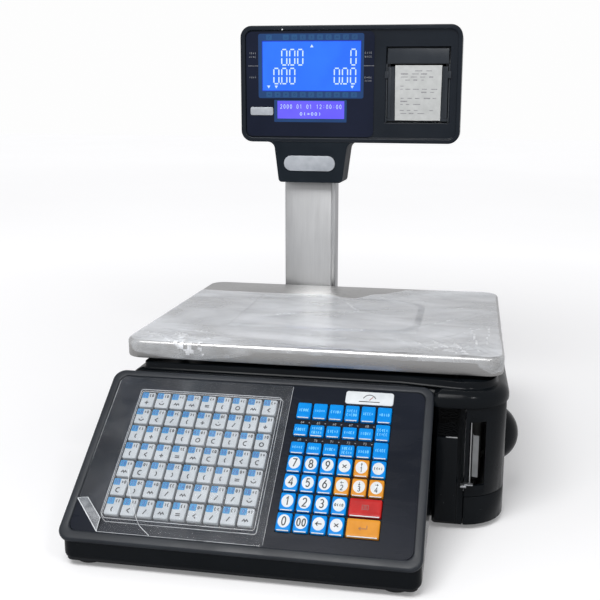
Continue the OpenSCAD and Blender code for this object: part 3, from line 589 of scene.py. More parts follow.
def housing():
    """Body shell: walls round to the printer corner, a lip, a rounded shoulder and the collar."""
    solid = Solid()
    ring = body_outline(0)
    inner = body_outline(WALL)
    free_edge = span("printer_door")[0].x - 0.8
    hinge_y = 150.7
    keep = [i for i, (x, y) in enumerate(ring) if not (x > free_edge and y < hinge_y)]
    gap = next(k for k, i in enumerate(keep) if i != keep[0] + k)
    order = keep[gap:] + keep[:gap]
    taper = (BODY_RIGHT - BODY_BACK_RIGHT) * (hinge_y - BODY_FRONT) / (BODY_BACK - BODY_FRONT)
    hinge_x = BODY_RIGHT - taper
    outer_path = [(hinge_x, hinge_y)] + [ring[i] for i in order] + [(free_edge, BODY_FRONT)]
    inner_path = [(hinge_x - WALL, hinge_y)] + [inner[i] for i in order]
    inner_path.append((free_edge, BODY_FRONT + WALL))
    fillet, foot, wall_top = 1.2, shell_low.z, LIP_Z + 1
    section = [(0, foot + fillet), (0, wall_top), (1, wall_top), (1, foot), (0.35, foot)]
    rings = []
    for (ox, oy), (ix, iy) in zip(outer_path, inner_path):
        rings.append([body_at(ox + (ix - ox) * t, oy + (iy - oy) * t, z) for t, z in section])
    solid.loft(rings, BLACK)
    roof = [(WALL, LIP_Z - 0.5), (0.6, LIP_Z - 0.5), (0.2, LIP_Z), (-LIP_OUT + 0.7, LIP_Z)]
    roof += [(-LIP_OUT + 0.2, LIP_Z + 0.25), (-LIP_OUT, LIP_Z + 0.9), (-LIP_OUT, LIP_Z + 3)]
    bow_in, bow_up = LIP_OUT + COLLAR_IN - 0.5, SHOULDER_Z - LIP_Z - 3
    roof += [(-LIP_OUT + bow_in * (1 - b), LIP_Z + 3 + bow_up * a) for a, b in quarter(12, 1)]
    solid.stack(body_outline, body_at, roof, BLACK)
    flare = 1.6
    collar = [(-flare, SHOULDER_Z - 0.3), (-flare * 0.4, SHOULDER_Z + flare * 0.3),
              (0, SHOULDER_Z + flare)]
    collar += [(0, shell_high.z - 1.2), (0.35, shell_high.z - 0.35), (1.2, shell_high.z)]
    solid.stack(collar_outline, body_at, collar, BLACK)
    ledge = rect(JOIN_X + 2.5, BODY_FRONT - 2.2, 143, BODY_FRONT + 2, 0.9, 3)
    solid.slab(ledge, body_at, 8, 90.5, BLACK, edge=1.6, edge_low=0.6)
    # Painted glint: a pale strip along the ledge's top edge, near its right end
    glint_strip = rect(132, BODY_FRONT - 1.7, 142.6, BODY_FRONT - 0.6, 0.3, 3)
    solid.slab(glint_strip, body_at, 89.4, 90.8, GLINT_EDGE, edge=0.4)
    backing = rect(141.5, BODY_FRONT + WALL + 0.4, 150, BODY_FRONT + WALL + 2.4, 0.3, 2)
    solid.slab(backing, body_at, shell_low.z, 30, BLACK)
    piece = solid.piece("body_shell", "base", "gloss_black", ["body_housing"])
    pole_low, pole_high = span("pole")
    ports = [(14 + 28 * k, 22, 32 + 28 * k, 38) for k in range(4)]
    vents = [(60, z, 140, z + 3) for z in range(60, 101, 8)]
    switch, inlet = (-150, 22, -122, 46), (-112, 26, -90, 42)

    def back_hole(x0, z0, x1, z1):
        return (x0, BODY_BACK - 6, z0), (x1, BODY_BACK + 3, z1)
    cut(piece, [back_hole(*hole) for hole in ports + vents] + [
        ((pole_low.x - 1, pole_low.y - 1, 120), (pole_high.x + 1, pole_high.y + 1, 150)),
        back_hole(*switch), back_hole(*inlet), ((14, 120, 120), (84, 180, 150))])


def deck_plan(i):
    """Plan of the keypad's housing, moved in by i."""
    left, right = rim_low.x + 3.5 + i, rim_high.x - 0.6 - i
    front = rim_low.y + 2.7 + i
    return rounded([(left, front), (right, front), (right, JOIN_Y - 0.6 - i),
                    (left, JOIN_Y - 0.6 - i)], [max(10 - i, 0.5), max(10 - i, 0.5), 3, 3], 8)


def keypad_housing():
    """Wedge under the deck: its lower edge is rounded and its top follows the slope."""
    solid = Solid()
    low = span("keypad_housing")[0]
    fillet = 6.5

    def slope(y, n):
        return DECK_Z + (y - rim_low.y) * math.tan(TILT) + n / math.cos(TILT)
    rings = [[body_at(x, y, low.z) for x, y in deck_plan(fillet + 3)]]
    for a, b in quarter(6):
        z = low.z + fillet * (1 - b)
        rings.append([body_at(x, y, z) for x, y in deck_plan(fillet * (1 - a))])
    rings.append([body_at(x, y, slope(y, -BEZEL_T - 0.05)) for x, y in deck_plan(0)])
    solid.loft(rings, BLACK)
    return solid.piece("keypad_shell", "base", "gloss_black", ["keypad_housing"])


def rim_outline(t):
    """Deck outline a share t of the way from the outer edge to the inner edge of the rim."""
    side, front, back = 8.2 * t, 8.8 * t, 7.2 * t
    corners = [(side, front), (DECK_W - side, front), (DECK_W - side, DECK_LEN - back),
               (side, DECK_LEN - back)]
    return rounded(corners, 11 - 4 * t, 10)


def bezel():
    """Raised rim round the deck, rolled over at its outer edge and chamfered at its inner edge."""
    solid = Solid()
    roll = 2.2
    profile = [(0, -BEZEL_T), (0, -roll)]
    profile += [(roll / 8.5 * (1 - b), -roll * (1 - a)) for a, b in quarter(5, 1)]
    profile += [(0.84, 0), (0.90, -0.12), (0.955, -0.55), (1.0, -1.15), (1.0, -BEZEL_T)]
    solid.stack(rim_outline, deck_at, profile, RIM, loop=True)
    return solid.piece("deck_rim", "base", "deck_rim", ["keypad_bezel"])


# ---- figures and marks ---------------------------------------------------------

# Strokes of each figure in a box one unit wide and one unit high
FIGURES = {
    "0": [arc((0.5, 0.5), (0.34, 0.5), 90, 450, 16)],
    "1": [[(0.25, 0.78), (0.55, 1), (0.55, 0)]],
    "2": [arc((0.5, 0.69), (0.34, 0.31), 165, -35, 8) + [(0.16, 0), (0.88, 0)]],
    "3": [arc((0.48, 0.75), (0.31, 0.25), 150, -90, 7)
          + arc((0.46, 0.26), (0.36, 0.26), 90, -150, 8)[1:]],
    "4": [[(0.68, 0), (0.68, 1), (0.1, 0.3), (0.92, 0.3)]],
    "5": [[(0.82, 1), (0.3, 1), (0.22, 0.56)] + arc((0.48, 0.32), (0.36, 0.32), 125, -145, 9)],
    "6": [[(0.7, 1), (0.3, 0.6)] + arc((0.5, 0.31), (0.35, 0.31), 150, 510, 14)],
    "7": [[(0.12, 1), (0.88, 1), (0.38, 0)]],
    "8": [arc((0.5, 0.75), (0.29, 0.25), 90, 450, 12), arc((0.5, 0.26), (0.36, 0.26), 90, 450, 12)],
    "9": [[(0.3, 0), (0.7, 0.4)] + arc((0.5, 0.69), (0.35, 0.31), -30, -390, 14)],
    "x": [[(0.15, 0.2), (0.85, 0.8)], [(0.15, 0.8), (0.85, 0.2)]],
    "up": [[(0.5, 0), (0.5, 1)], [(0.2, 0.6), (0.5, 1), (0.8, 0.6)]],
    "down": [[(0.5, 1), (0.5, 0)], [(0.2, 0.4), (0.5, 0), (0.8, 0.4)]],
    "left": [[(1, 0.5), (0, 0.5)], [(0.35, 0.85), (0, 0.5), (0.35, 0.15)]],
    "right": [[(0, 0.5), (1, 0.5)], [(0.65, 0.85), (1, 0.5), (0.65, 0.15)]],
    "return": [[(1, 1), (1, 0.35), (0, 0.35)], [(0.25, 0.65), (0, 0.35), (0.25, 0.05)]],
    "sheet": [[(0.1, 0.1), (0.9, 0.1), (0.9, 0.9), (0.1, 0.9), (0.1, 0.1)],
              [(0.3, 0.62), (0.7, 0.62)], [(0.3, 0.38), (0.7, 0.38)]],
    ":": [[(0.5, 0.2), (0.5, 0.34)], [(0.5, 0.66), (0.5, 0.8)]],
}
# Plain marks that stand in for printed signs and legends
MARKS = [
    [arc((0.5, 0.7), (0.42, 0.5), 200, 340, 6), [(0.5, 0.78), (0.5, 0.92)]],
    [arc((0.55, 0.5), (0.38, 0.4), 70, 290, 8)],
    [[(0.05, 0.3), (0.3, 0.65), (0.5, 0.3), (0.7, 0.65), (0.95, 0.3)]],
    [[(0.3, 0.1), (0.7, 0.9)]],
    [arc((0.5, 0.5), (0.32, 0.38), 90, 450, 12)],
    [arc((0.9, 0.5), (0.5, 0.52), 130, 230, 6)],
    [[(0.2, 0.5), (0.8, 0.5)], [(0.5, 0.15), (0.5, 0.85)]],
    [[(0.15, 0.35), (0.85, 0.35)], [(0.15, 0.65), (0.85, 0.65)]],
    [[(0.7, 0.9), (0.3, 0.5), (0.7, 0.1)]],
    [arc((0.1, 0.5), (0.5, 0.52), -50, 50, 6)],
]


def strokes(solid, lines, x, y, w, h, weight, layer, look):
    """Draws strokes, scaled into a box whose lower left corner is x, y.

    A layer holds a frame to place points in, and a lower and an upper height in it."""
    for line in lines:
        closed = len(line) > 3 and math.dist(line[0], line[-1]) < 1e-6
        pts = [(x + a * w, y + b * h) for a, b in (line[:-1] if closed else line)]
        solid.ribbon(pts, weight, *layer, look, closed)


def figures(solid, text, x, y, h, weight, layer, look, pitch=0.78):
    """Writes a row of figures that is centred on x."""
    w = h * 0.6
    step = h * pitch
    start = x - ((len(text) - 1) * step + w) / 2
    for k, sign in enumerate(text):
        if sign != " ":
            strokes(solid, FIGURES[sign], start + k * step, y, w, h, weight, layer, look)


def scribble(solid, x, y, w, h, count, rng, weight, layer, look):
    """Row of small plain marks that reads as print from afar but holds no letters."""
    step = w / count
    for k in range(count):
        mark = rng.choice(MARKS[1:2] + MARKS[4:6] + MARKS[7:])
        strokes(solid, mark, x + k * step, y, step * 0.8, h, weight, layer, look)


# ---- keypad --------------------------------------------------------------------

def keys_of(node):
    """Keys of a bank as (u, s, width, height, top), bottom row first and left to right."""
    b = bmesh.new()
    b.from_mesh(CAD[node].data)
    bmesh.ops.remove_doubles(b, verts=b.verts, dist=0.01 * MM)
    to_deck = DECK.inverted()
    todo = set(b.verts)
    found = []
    while todo:
        stack = [todo.pop()]
        points = []
        while stack:
            v = stack.pop()
            points.append(to_deck @ v.co / MM)
            for edge in v.link_edges:
                other = edge.other_vert(v)
                if other in todo:
                    todo.discard(other)
                    stack.append(other)
        low = [min(p[k] for p in points) for k in range(3)]
        high = [max(p[k] for p in points) for k in range(3)]
        found.append((low[0], low[1], high[0] - low[0], high[1] - low[1], high[2]))
    b.free()
    return sorted(found, key=lambda k: (round(k[1]), k[0]))


INK_T = 0.05
KEY_FOOT = -5.6
PLATE_N = -1.2


def cap(solid, key, look, edge_look=None):
    """Key cap: drafted sides, soft edge, slightly dished top and perhaps a bright front edge."""
    u, s, w, h, top = key
    outline = rect(u, s, u + w, s + h, 1.6, 4)
    profile = [(0.0, KEY_FOOT), (0.25, top - 1.1), (0.42, top - 0.45), (0.85, top - 0.08),
               (1.3, top), (3.2, top - 0.05), (4.8, top - 0.07)]
    solid.stack(outline, deck_at, profile, look)
    if edge_look:
        line = [(u + 1.6, s + 0.42), (u + w - 1.6, s + 0.42)]
        solid.ribbon(line, 0.75, deck_at, top - 0.9, top - 0.12, edge_look)


def lookup_keys():
    """Grey look-up keys, each with a blue corner tag, a number and plain marks."""
    rng = random.Random(5)
    solid = Solid()
    for number, key in enumerate(keys_of("plu_keys"), 1):
        u, s, w, h, top = key
        cap(solid, key, GREY_KEY)
        back, high = s + h, top + INK_T
        face, raised = (deck_at, top - 0.1, high), (deck_at, high - 0.01, high + INK_T)
        tag_w, tag_h, edge = w * 0.46, h * 0.38, 0.6
        tag = rect(u + edge, back - tag_h - edge, u + edge + tag_w, back - edge, 0.7, 2)
        solid.slab(tag, *face, TAG)
        figures(solid, str(number), u + edge + tag_w / 2, back - tag_h * 0.5 - 2.3, 3.5, 0.65,
                raised, TAG_INK)
        scribble(solid, u + tag_w + 1.5, back - 5.3, w - tag_w - 2.4, 3.3, 2, rng, 0.8, face, INK)
        strokes(solid, rng.choice(MARKS), u + w / 2 - 2.9, s + 2.4, 5.8, 5.2, 1.0, face, INK)
    return solid.piece("lookup_key_caps", "plu_keys", "key_grey", ["plu_keys"])


def round_face(solid, key):
    """Pale oval on the top of a key."""
    u, s, w, h, top = key
    rim = arc((u + w / 2, s + h / 2 + 0.3), (w * 0.385, h * 0.355), 0, 360, 28)[:-1]
    solid.slab(lambda inset: rim, deck_at, top - 0.1, top + INK_T, WHITE_FACE_AND_HIGHLIGHT)


def figure_keys(node, name, texts):
    """Blue keys with a figure on a pale oval."""
    solid = Solid()
    for key, text in zip(keys_of(node), texts):
        u, s, w, h, top = key
        cap(solid, key, BLUE_KEY, WHITE_FACE_AND_HIGHLIGHT)
        round_face(solid, key)
        size = 6.4 if len(text) > 1 else 7.4
        figures(solid, text, u + w / 2, s + h / 2 + 0.3 - size / 2, size, 1.05,
                (deck_at, top, top + 2 * INK_T), INK, pitch=0.68)
    return solid.piece(name, node, "key_blue", [node])


def function_keys():
    """Blue keys whose short legends are rows of plain marks."""
    rng = random.Random(11)
    solid = Solid()
    for k, key in enumerate(keys_of("function_keys")):
        u, s, w, h, top = key
        cap(solid, key, BLUE_KEY, WHITE_FACE_AND_HIGHLIGHT)
        rows = 2 if k % 4 == 3 else 1
        for row in range(rows):
            y = s + h / 2 - 1.7 + (rows - 1) * 2.1 - row * 4.2
            layer = (deck_at, top - 0.1, top + INK_T)
            scribble(solid, u + 1.9, y, w - 3.6, 3.3, 5, rng, 0.6, layer, CYAN_INK)
    return solid.piece("function_key_caps", "function_keys", "key_blue", ["function_keys"])


def command_keys():
    """Keys with arrows and signs on pale ovals, some orange and some blue."""
    rng = random.Random(3)
    blue, orange = BLUE_KEY, ORANGE_KEY
    legends = [("left", "", blue), ("x", "", blue), (None, "", blue),
               ("left", "2", orange), ("down", "3", orange), ("right", "4", orange),
               ("x", "", blue), ("up", "1", orange), (None, "", blue)]
    solid = Solid()
    for key, (sign, number, look) in zip(keys_of("command_keys"), legends):
        u, s, w, h, top = key
        cap(solid, key, look, WHITE_FACE_AND_HIGHLIGHT)
        round_face(solid, key)
        layer = (deck_at, top, top + 2 * INK_T)
        centre, middle = u + w / 2, s + h / 2 + 0.3
        if number:
            strokes(solid, FIGURES[sign], centre - 1.4, middle + 1.2, 2.8, 2.8, 0.5, layer, INK)
            figures(solid, number, centre, middle - 4.3, 4.6, 0.75, layer, INK)
        elif sign:
            strokes(solid, FIGURES[sign], centre - 2.5, middle - 2.5, 5.0, 5.0, 0.85, layer, INK)
        else:
            scribble(solid, u + 2.6, middle - 1.5, w - 5.2, 3.0, 4, rng, 0.6, layer, INK)
    return solid.piece("command_key_caps", "command_keys", "key_blue", ["command_keys"])


def wide_key(node, name, slot, look, sign, ink):
    """Double-width key with one sign in a deeper tone."""
    solid = Solid()
    key = keys_of(node)[0]
    u, s, w, h, top = key
    cap(solid, key, look, WHITE_FACE_AND_HIGHLIGHT)
    size = 4.6
    strokes(solid, FIGURES[sign], u + w / 2 - size * 0.7, s + h / 2 - size / 2,
            size * 1.4, size, 0.9, (deck_at, top - 0.1, top + INK_T), ink)
    return solid.piece(name, node, slot, [node])


def strip_labels():
    """Small numbers on the dark strips above the two rows of short keys."""
    solid = Solid()
    strip = (deck_at, PLATE_N, PLATE_N + 0.06)
    print_on = (deck_at, PLATE_N + 0.05, PLATE_N + 0.1)
    short = [k for k in keys_of("function_keys") if k[3] < 14]
    for number, (u, s, w, h, _) in enumerate(sorted(short, key=lambda k: (-round(k[1]), k[0])), 64):
        right, back = u + w, s + h
        solid.slab(rect(u + 1.2, back + 1.5, right - 1.2, back + 4.9, 0.4, 2), *strip, PLATE)
        figures(solid, str(number), u + w / 2, back + 2.2, 2.2, 0.42, print_on, LABEL_INK)
        solid.ribbon([(right - 1.0, back + 3.2), (right + 0.2, back + 3.2)], 0.6, *strip, LABEL_INK)
    return solid.piece("strip_labels", "base", "navy_gloss")


def name_plates():
    """Three plates: a white one with a plain dial mark on the deck, silver on head and neck."""
    solid = Solid()
    deck = rect(227.5, 152, 271.5, 165.8, 2.5, 5)
    face, base, middle = -0.4, 155.0, 249.5
    solid.slab(deck, deck_at, PLATE_N, face, WHITE_FACE_AND_HIGHLIGHT, edge=0.3, edge_low=0)
    layer = (deck_at, face - 0.02, face + 0.04)
    solid.ribbon([(240, base), (259, base)], 0.9, *layer, INK)
    solid.ribbon(arc((middle, base + 1.4), 6.0, 20, 160, 12), 0.8, *layer, INK)
    solid.ribbon([(middle, base + 1.6), (middle + 3.1, base + 5.4)], 0.7, *layer, DEEP_RED)
    solid.slab(rect(-130, 374.4, -101.2, 384.2, 2, 4), head_at, 0, 1.0, BADGE, edge=0.3, edge_low=0)
    neck_y = span("neck")[0].y
    pill = rect(-87.4, 306.3, -23, 325, 9, 8)

    def neck_at(x, z, out):
        return body_at(x, neck_y - out, z)
    solid.slab(pill, neck_at, 0, 1.2, BADGE, edge=0.5, edge_low=0)
    return solid.piece("name_plates", "base", "plate_silver", ["blank_plates"])


# ---- clear cover over the look-up keys ----------------------------------------------

FOLD = ((7.6, 38.0), (34.0, 9.4))
FLAP = ((34.6, 20.5), (17.6, 38.2))
FLAP_RISE = 2.6


def bright_line(solid, points, width):
    """Painted highlight: a thin pale line along an edge or a crack, through u, s, n points on the
    deck.
    """
    half = width / 2
    section = [(-half, 0), (half, 0), (half, half), (-half, half)]
    rings = [[deck_at(u + a, s + b, n + b) for a, b in section] for u, s, n in points]
    solid.loft(rings, WHITE_FACE_AND_HIGHLIGHT)


def dome_plan(i, steps=4):
    """Plan of the cover's dome, moved in by i."""
    corners = [(33.6 + i, 23.5 + i * 0.4), (38.6 + i * 0.4, 18.5 + i), (170.5 - i, 18.5 + i),
               (170.5 - i, 151.6 - i), (33.6 + i, 151.6 - i)]
    return rounded(corners, 2.4, steps)


def clear_cover():
    """Moulded clear sheet with a dome over the keys; its lower left corner is folded over."""
    plate, sheet, top = PLATE_N, 0.3, 4.6
    right, back = 177.3, DECK_LEN - 7.6
    outer = [FOLD[0], FOLD[1], (right, FOLD[1][1]), (right, back), (FOLD[0][0] + 1, back)]
    flat_ring = rounded(outer, [0.3, 0.3, 1.5, 2, 5], 4)
    over = [(-1.0, plate + sheet), (-0.3, plate + 0.6), (0.2, plate + 1.6), (0.6, top - 1.0),
            (1.1, top - 0.25), (1.8, top)]
    under = [(1.8, top - sheet), (1.3, top - 0.5), (0.9, top - 1.1), (0.5, plate + 1.5),
             (0.0, plate + 0.3), (-0.7, plate)]
    solid = Solid()
    rings = [[deck_at(u, s, n) for u, s in flat_ring] for n in (plate, plate + sheet)]
    rings += [[deck_at(u, s, n) for u, s in dome_plan(i)] for i, n in over + under]
    solid.loft(rings, COVER, loop=True, cap=False)
    solid.stack(dome_plan, deck_at, [(1.8, top - sheet), (1.8, top)], COVER)
    # Painted highlights along the moulding's edges and the fold, then the flap, with painted
    # highlights on its edges and along one crack
    for i, n, weight in ((0.2, plate + 0.9, 0.5), (1.2, top - 0.1, 0.45)):
        solid.ribbon(dome_plan(i, 3), weight, deck_at, n, n + 0.15, COVER_HIGHLIGHT, closed=True)
    edges = [([(right, FOLD[1][1] + 1), (right, back - 1)], 0.35, 0.45, COVER_HIGHLIGHT),
             ([FOLD[0], (FOLD[0][0] + 1, back - 5)], 0.35, 0.45, COVER_HIGHLIGHT),
             ([FOLD[1], (right - 1.5, FOLD[1][1])], 0.45, 0.45, COVER_HIGHLIGHT),
             ([FOLD[0], FOLD[1]], 0.7, 0.9, WHITE_FACE_AND_HIGHLIGHT)]
    for line, weight, rise, look in edges:
        solid.ribbon(line, weight, deck_at, plate, plate + rise, look)
    rings = []
    for t in [k / 6 for k in range(7)]:
        a = Vector(FOLD[0]).lerp(Vector(FLAP[1]), t)
        b = Vector(FOLD[1]).lerp(Vector(FLAP[0]), t)
        n = plate + sheet + FLAP_RISE * math.sin(math.pi * t * 0.55)
        rings.append([deck_at(*a, n), deck_at(*b, n), deck_at(*b, n + 0.25), deck_at(*a, n + 0.25)])
    solid.loft(rings, COVER_FLAP)
    lifted = plate + sheet + FLAP_RISE * math.sin(math.pi * 0.55) + 0.2
    solid.ribbon([FLAP[0], FLAP[1]], 0.55, deck_at, lifted, lifted + 0.2, WHITE_FACE_AND_HIGHLIGHT)
    for start, end in ((FOLD[1], FLAP[0]), (FOLD[0], FLAP[1])):
        mid = Vector(start).lerp(Vector(end), 0.5)
        bright_line(solid, [(*start, plate + 0.5), (*mid, plate + 2.2), (*end, lifted)], 0.5)
    crack = [(47, 66, top), (51, 52, top), (56, 41, top), (62, 30.5, top), (67.6, 20.6, top),
             (69.6, 17.6, plate + sheet), (73.5, 14.6, plate + sheet), (80, 9.9, plate + sheet)]
    bright_line(solid, crack, 0.45)
    return solid.piece("clear_cover", "base", "clear_plastic", ["key_cover"])


# ---- platter and its film -------------------------------------------------------

PAN_R = 18
PAN_T = 1.5
pan_lo, pan_hi = span("pan")
PAN_RISE = 0.9
PAN_ROLL = 4.5


def pan_top_plan(i):
    """Plan of the platter, moved in by i."""
    return rect(pan_lo.x, pan_lo.y, pan_hi.x, pan_hi.y, PAN_R, 12)(i)


def platter():
    """Pressed steel tray with a rolled edge, a turned-in hem and a low raised panel."""
    top, hem = pan_hi.z, pan_lo.z
    solid = Solid()
    panel = rect(-95, 77, 95, 222, 36, 12)
    under, inner = top - PAN_T, PAN_ROLL - PAN_T
    profile = [(PAN_ROLL + 1, under)]
    profile += [(PAN_T + inner * (1 - a), under - inner * (1 - b)) for a, b in quarter(4)]
    profile += [(PAN_T, hem + 2.4), (PAN_T + 0.5, hem + PAN_T), (6, hem + PAN_T), (6, hem),
                (1.4, hem), (0.5, hem + 0.3), (0.1, hem + 1.1)]
    profile += [(PAN_ROLL * (1 - b), top - PAN_ROLL * (1 - a)) for a, b in quarter(8)]
    rings = [[body_at(x, y, z) for x, y in pan_top_plan(i)] for i, z in profile]
    flat = len(rings) - 1
    for inset, rise in ((-4.2, 0), (-3.2, -0.35), (-1.6, -0.8), (0, -0.5), (1.6, 0.35),
                        (2.8, PAN_RISE - 0.12),
                        (4.0, PAN_RISE), (20, PAN_RISE)):
        rings.append([body_at(x, y, top + rise) for x, y in panel(inset)])
    solid.loft(rings, STEEL)
    ring = len(rings[0])
    solid.used.append(GROOVE)
    for k in range((flat + 1) * ring, (flat + 6) * ring):
        solid.looks[k] = 1
    return solid.piece("platter", "pan", "stainless", ["pan"])


def ridge(x, y, angle, pitch, seed):
    """Height of a field of long soft folds that run at an angle."""
    a = math.radians(angle)
    across = (x * math.cos(a) + y * math.sin(a)) / pitch
    along = (-x * math.sin(a) + y * math.cos(a)) / (pitch * 4.5)
    n = noise.noise(Vector((across, along, seed)))
    return max(0.0, 1 - abs(n) * 2.4) ** 3


# Creases in the film: from and to in the layout's x and y, height and half width
CREASES = [
    (-172, 34, -128, -4, 1.5, 3.0), (-158, 44, -104, 8, 1.3, 2.6), (-146, 52, -84, 30, 0.9, 3.0),
    (-128, 20, -76, 12, 1.0, 2.4), (-118, 8, -60, 22, 0.8, 2.4), (-165, 70, -120, 64, 0.7, 3.0),
    (-74, 118, -30, 134, 1.4, 2.6), (-40, 128, 62, 168, 0.8, 4.0), (-52, 70, 66, 76, 0.9, 3.2),
    (-30, 44, 84, 38, 0.7, 3.4), (4, 205, 30, 150, 1.0, 5.0), (30, 250, 74, 210, 1.3, 5.0),
    (66, 62, 104, 20, 0.9, 2.6), (92, 50, 120, 8, 1.5, 3.0), (106, 62, 138, 12, 1.4, 3.2),
    (128, 70, 146, 10, 1.2, 3.0), (150, 120, 158, 22, 1.2, 3.4), (172, 150, 164, 20, 1.1, 3.2),
    (90, 92, 178, 190, 0.8, 3.0), (118, 52, 182, 132, 0.9, 2.8), (120, 190, 160, 206, 0.7, 4.0),
]


def creases(x, y):
    """Height that the creases add at a place on the film."""
    height = 0.0
    for x0, y0, x1, y1, rise, half in CREASES:
        run = Vector((x1 - x0, y1 - y0))
        t = ((x - x0) * run.x + (y - y0) * run.y) / run.length_squared
        if -0.1 < t < 1.1:
            wander = 2.2 * noise.noise(Vector((x / 18, y / 18, x0)))
            off = abs(((x - x0) * run.y - (y - y0) * run.x) / run.length + wander)
            fade = math.sin(math.pi * min(max(t, 0), 1)) ** 0.5
            height = max(height, rise * fade * max(0.0, 1 - off / half) ** 1.6)
    return height


def crumples(u, v):
    """Height of the sharp crumpling near the film's two front corners."""
    much = max(0.0, 1 - math.hypot((u + 128) / 62, (v - 8) / 42))
    much = max(much, 0.8 * max(0.0, 1 - math.hypot((u - 140) / 60, (v - 22) / 44)))
    return much * (1.9 * ridge(u, v, 35, 11, 9) + 1.4 * ridge(u, v, -40, 8, 4))


def film_back(x):
    """Where the film's back edge lies over the platter."""
    stops = [(-190, 242), (-120, 238), (-20, 240), (8, 223), (40, 256), (77, 287), (110, 297),
             (190, 299)]
    for (x0, y0), (x1, y1) in zip(stops, stops[1:]):
        if x <= x1:
            t = max(0.0, (x - x0) / (x1 - x0))
            return y0 + (y1 - y0) * (3 * t * t - 2 * t ** 3)
    return stops[-1][1]


def film_drop(x, y):
    """How far the film hangs below the platter's top at a place on its edge."""
    left = max(0.0, 1 - abs(x + 118) / 66) ** 0.4 * (y < 40)
    right = max(0.0, 1 - abs(x - 184) / 26) ** 0.4 * (y < 70)
    return 6.2 + 11.0 * max(left, right * 0.9) + 1.2 * noise.noise(Vector((x / 14, y / 14, 3)))


def film_point(u, v, hem):
    """Place on the draped film for u, v on the flat sheet, whose edge is hem past the platter."""
    half, depth, top = pan_hi.x, pan_hi.y - pan_lo.y, pan_hi.z
    reach = PAN_R + hem
    cx, cy = max(-half + PAN_R, min(half - PAN_R, u)), max(PAN_R, min(depth - PAN_R, v))
    p, q = (u - cx) / reach, (v - cy) / reach
    out = max(abs(p), abs(q)) * reach
    way = Vector((p, q)).normalized() if out > 1e-6 else Vector((1, 0))
    gap = 0.45
    lift = 0.35 + 0.35 * ridge(u, v, 12, 46, 1) + 0.25 * ridge(u, v, 62, 30, 5) + creases(u, v)
    lift += crumples(u, v)
    if abs(u) < 98 and 74 < v < 225:
        lift += PAN_RISE
    start = PAN_R - PAN_ROLL
    if out <= start:
        return body_at(cx + way.x * out, cy + way.y * out, top + max(0.3, lift))
    hang = film_drop(u, v)
    arc_r = PAN_ROLL + gap
    length = arc_r * math.pi / 2 + hang - arc_r
    t = (out - start) / (reach - start) * length
    bulge = max(0.0, lift - 0.35) * 0.75
    turn = min(t / arc_r, math.pi / 2)
    r = start + (arc_r + bulge) * math.sin(turn)
    below = max(0.0, t - arc_r * math.pi / 2)
    z = top + gap - arc_r * (1 - math.cos(turn)) + bulge * math.cos(turn) - below
    return body_at(cx + way.x * r, cy + way.y * r, z)


def pan_film():
    """Loose protective film: lies over the platter in soft folds and hangs over its edges."""
    cols, rows, hem = 190, 150, 12
    half = pan_hi.x
    points = []
    for j in range(rows + 1):
        for i in range(cols + 1):
            u = (half + hem) * (2 * i / cols - 1)
            v = -hem + (film_back(u) + hem) * j / rows
            points.append(film_point(u, v, hem))
    width = cols + 1
    faces = [[j * width + i, j * width + i + 1, (j + 1) * width + i + 1, (j + 1) * width + i]
             for j in range(rows) for i in range(cols)]
    solid = Solid()
    plain, folded, hanging = [], [], []
    for k, face in enumerate(faces):
        i, j = k % cols, k // cols
        u = (half + hem) * (2 * (i + 0.5) / cols - 1)
        v = -hem + (film_back(u) + hem) * (j + 0.5) / rows
        # Faces on high creases and crumples take the whiter fold film as painted glint
        if creases(u, v) > 0.66 or crumples(u, v) > 1.05:
            folded.append(face)
        else:
            (hanging if v < 1.5 or abs(u) > half - 1.5 else plain).append(face)
    solid.add(points, plain, PAN_FILM)
    for part, look in ((folded, FILM_FOLD_GLINT), (hanging, FILM_SKIRT)):
        solid.add([], [[i - len(points) for i in face] for face in part], look)
    piece = solid.piece("platter_film", "pan", "clear_plastic", ["pan_film"])
    return piece


# ---- head -----------------------------------------------------------------------

lcd_low, lcd_high = span("main_lcd")
date_low, date_high = span("date_lcd")

# The six lit segments of a seven-segment nought, in a box one unit wide and high
NOUGHT = [((0.12, 1), (0.88, 1)), ((1, 0.93), (1, 0.56)), ((1, 0.44), (1, 0.07)),
          ((0.12, 0), (0.88, 0)), ((0, 0.07), (0, 0.44)), ((0, 0.56), (0, 0.93))]


def neck():
    """Tapered neck that flares into the head's underside."""
    low, high = span("neck")
    root = high.z
    outline = rounded(
        [(-94.3, low.z), (-14.1, low.z), (-7.6, root), (6, root), (6, root + 0.8),
         (-110, root + 0.8),
         (-110, root), (-100.4, root)], [4.5, 4.5, 9, 0.05, 0.05, 0.05, 0.05, 9], 8)
    solid = Solid()
    solid.loft([[body_at(x, y, z) for x, z in outline] for y in (low.y, high.y)], NECK)
    piece = solid.piece("neck_shell", "base", "gloss_black", ["neck"])
    soften(piece, 1.1, 2, 50)


def tear_shelf():
    """Small bent steel lip at the foot of the label slot, on the printer's door."""
    solid = Solid()
    for plan, low, high, edge in ((rect(146.5, -24.5, 152, -17.6, 0.8, 3), 45.4, 46.4, 0.3),
                                  (rect(150, -23, 158, -17.6, 0.8, 3), 46.2, 47.2, 0.3),
                                  (rect(146.5, -24.5, 152, -23.7, 0.3, 3), 44.6, 46.0, 0.2)):
        solid.slab(plan, body_at, low, high, ZINC, edge=edge)
    return solid.piece("tear_shelf", "printer_door", "zinc_steel")


def lcd_at(x, z, out):
    """Point on the main display, from its lower left corner."""
    return body_at(lcd_low.x + x, lcd_low.y - out, lcd_low.z + z)


LCD_LAYER = (lcd_at, -0.05, 0.12)


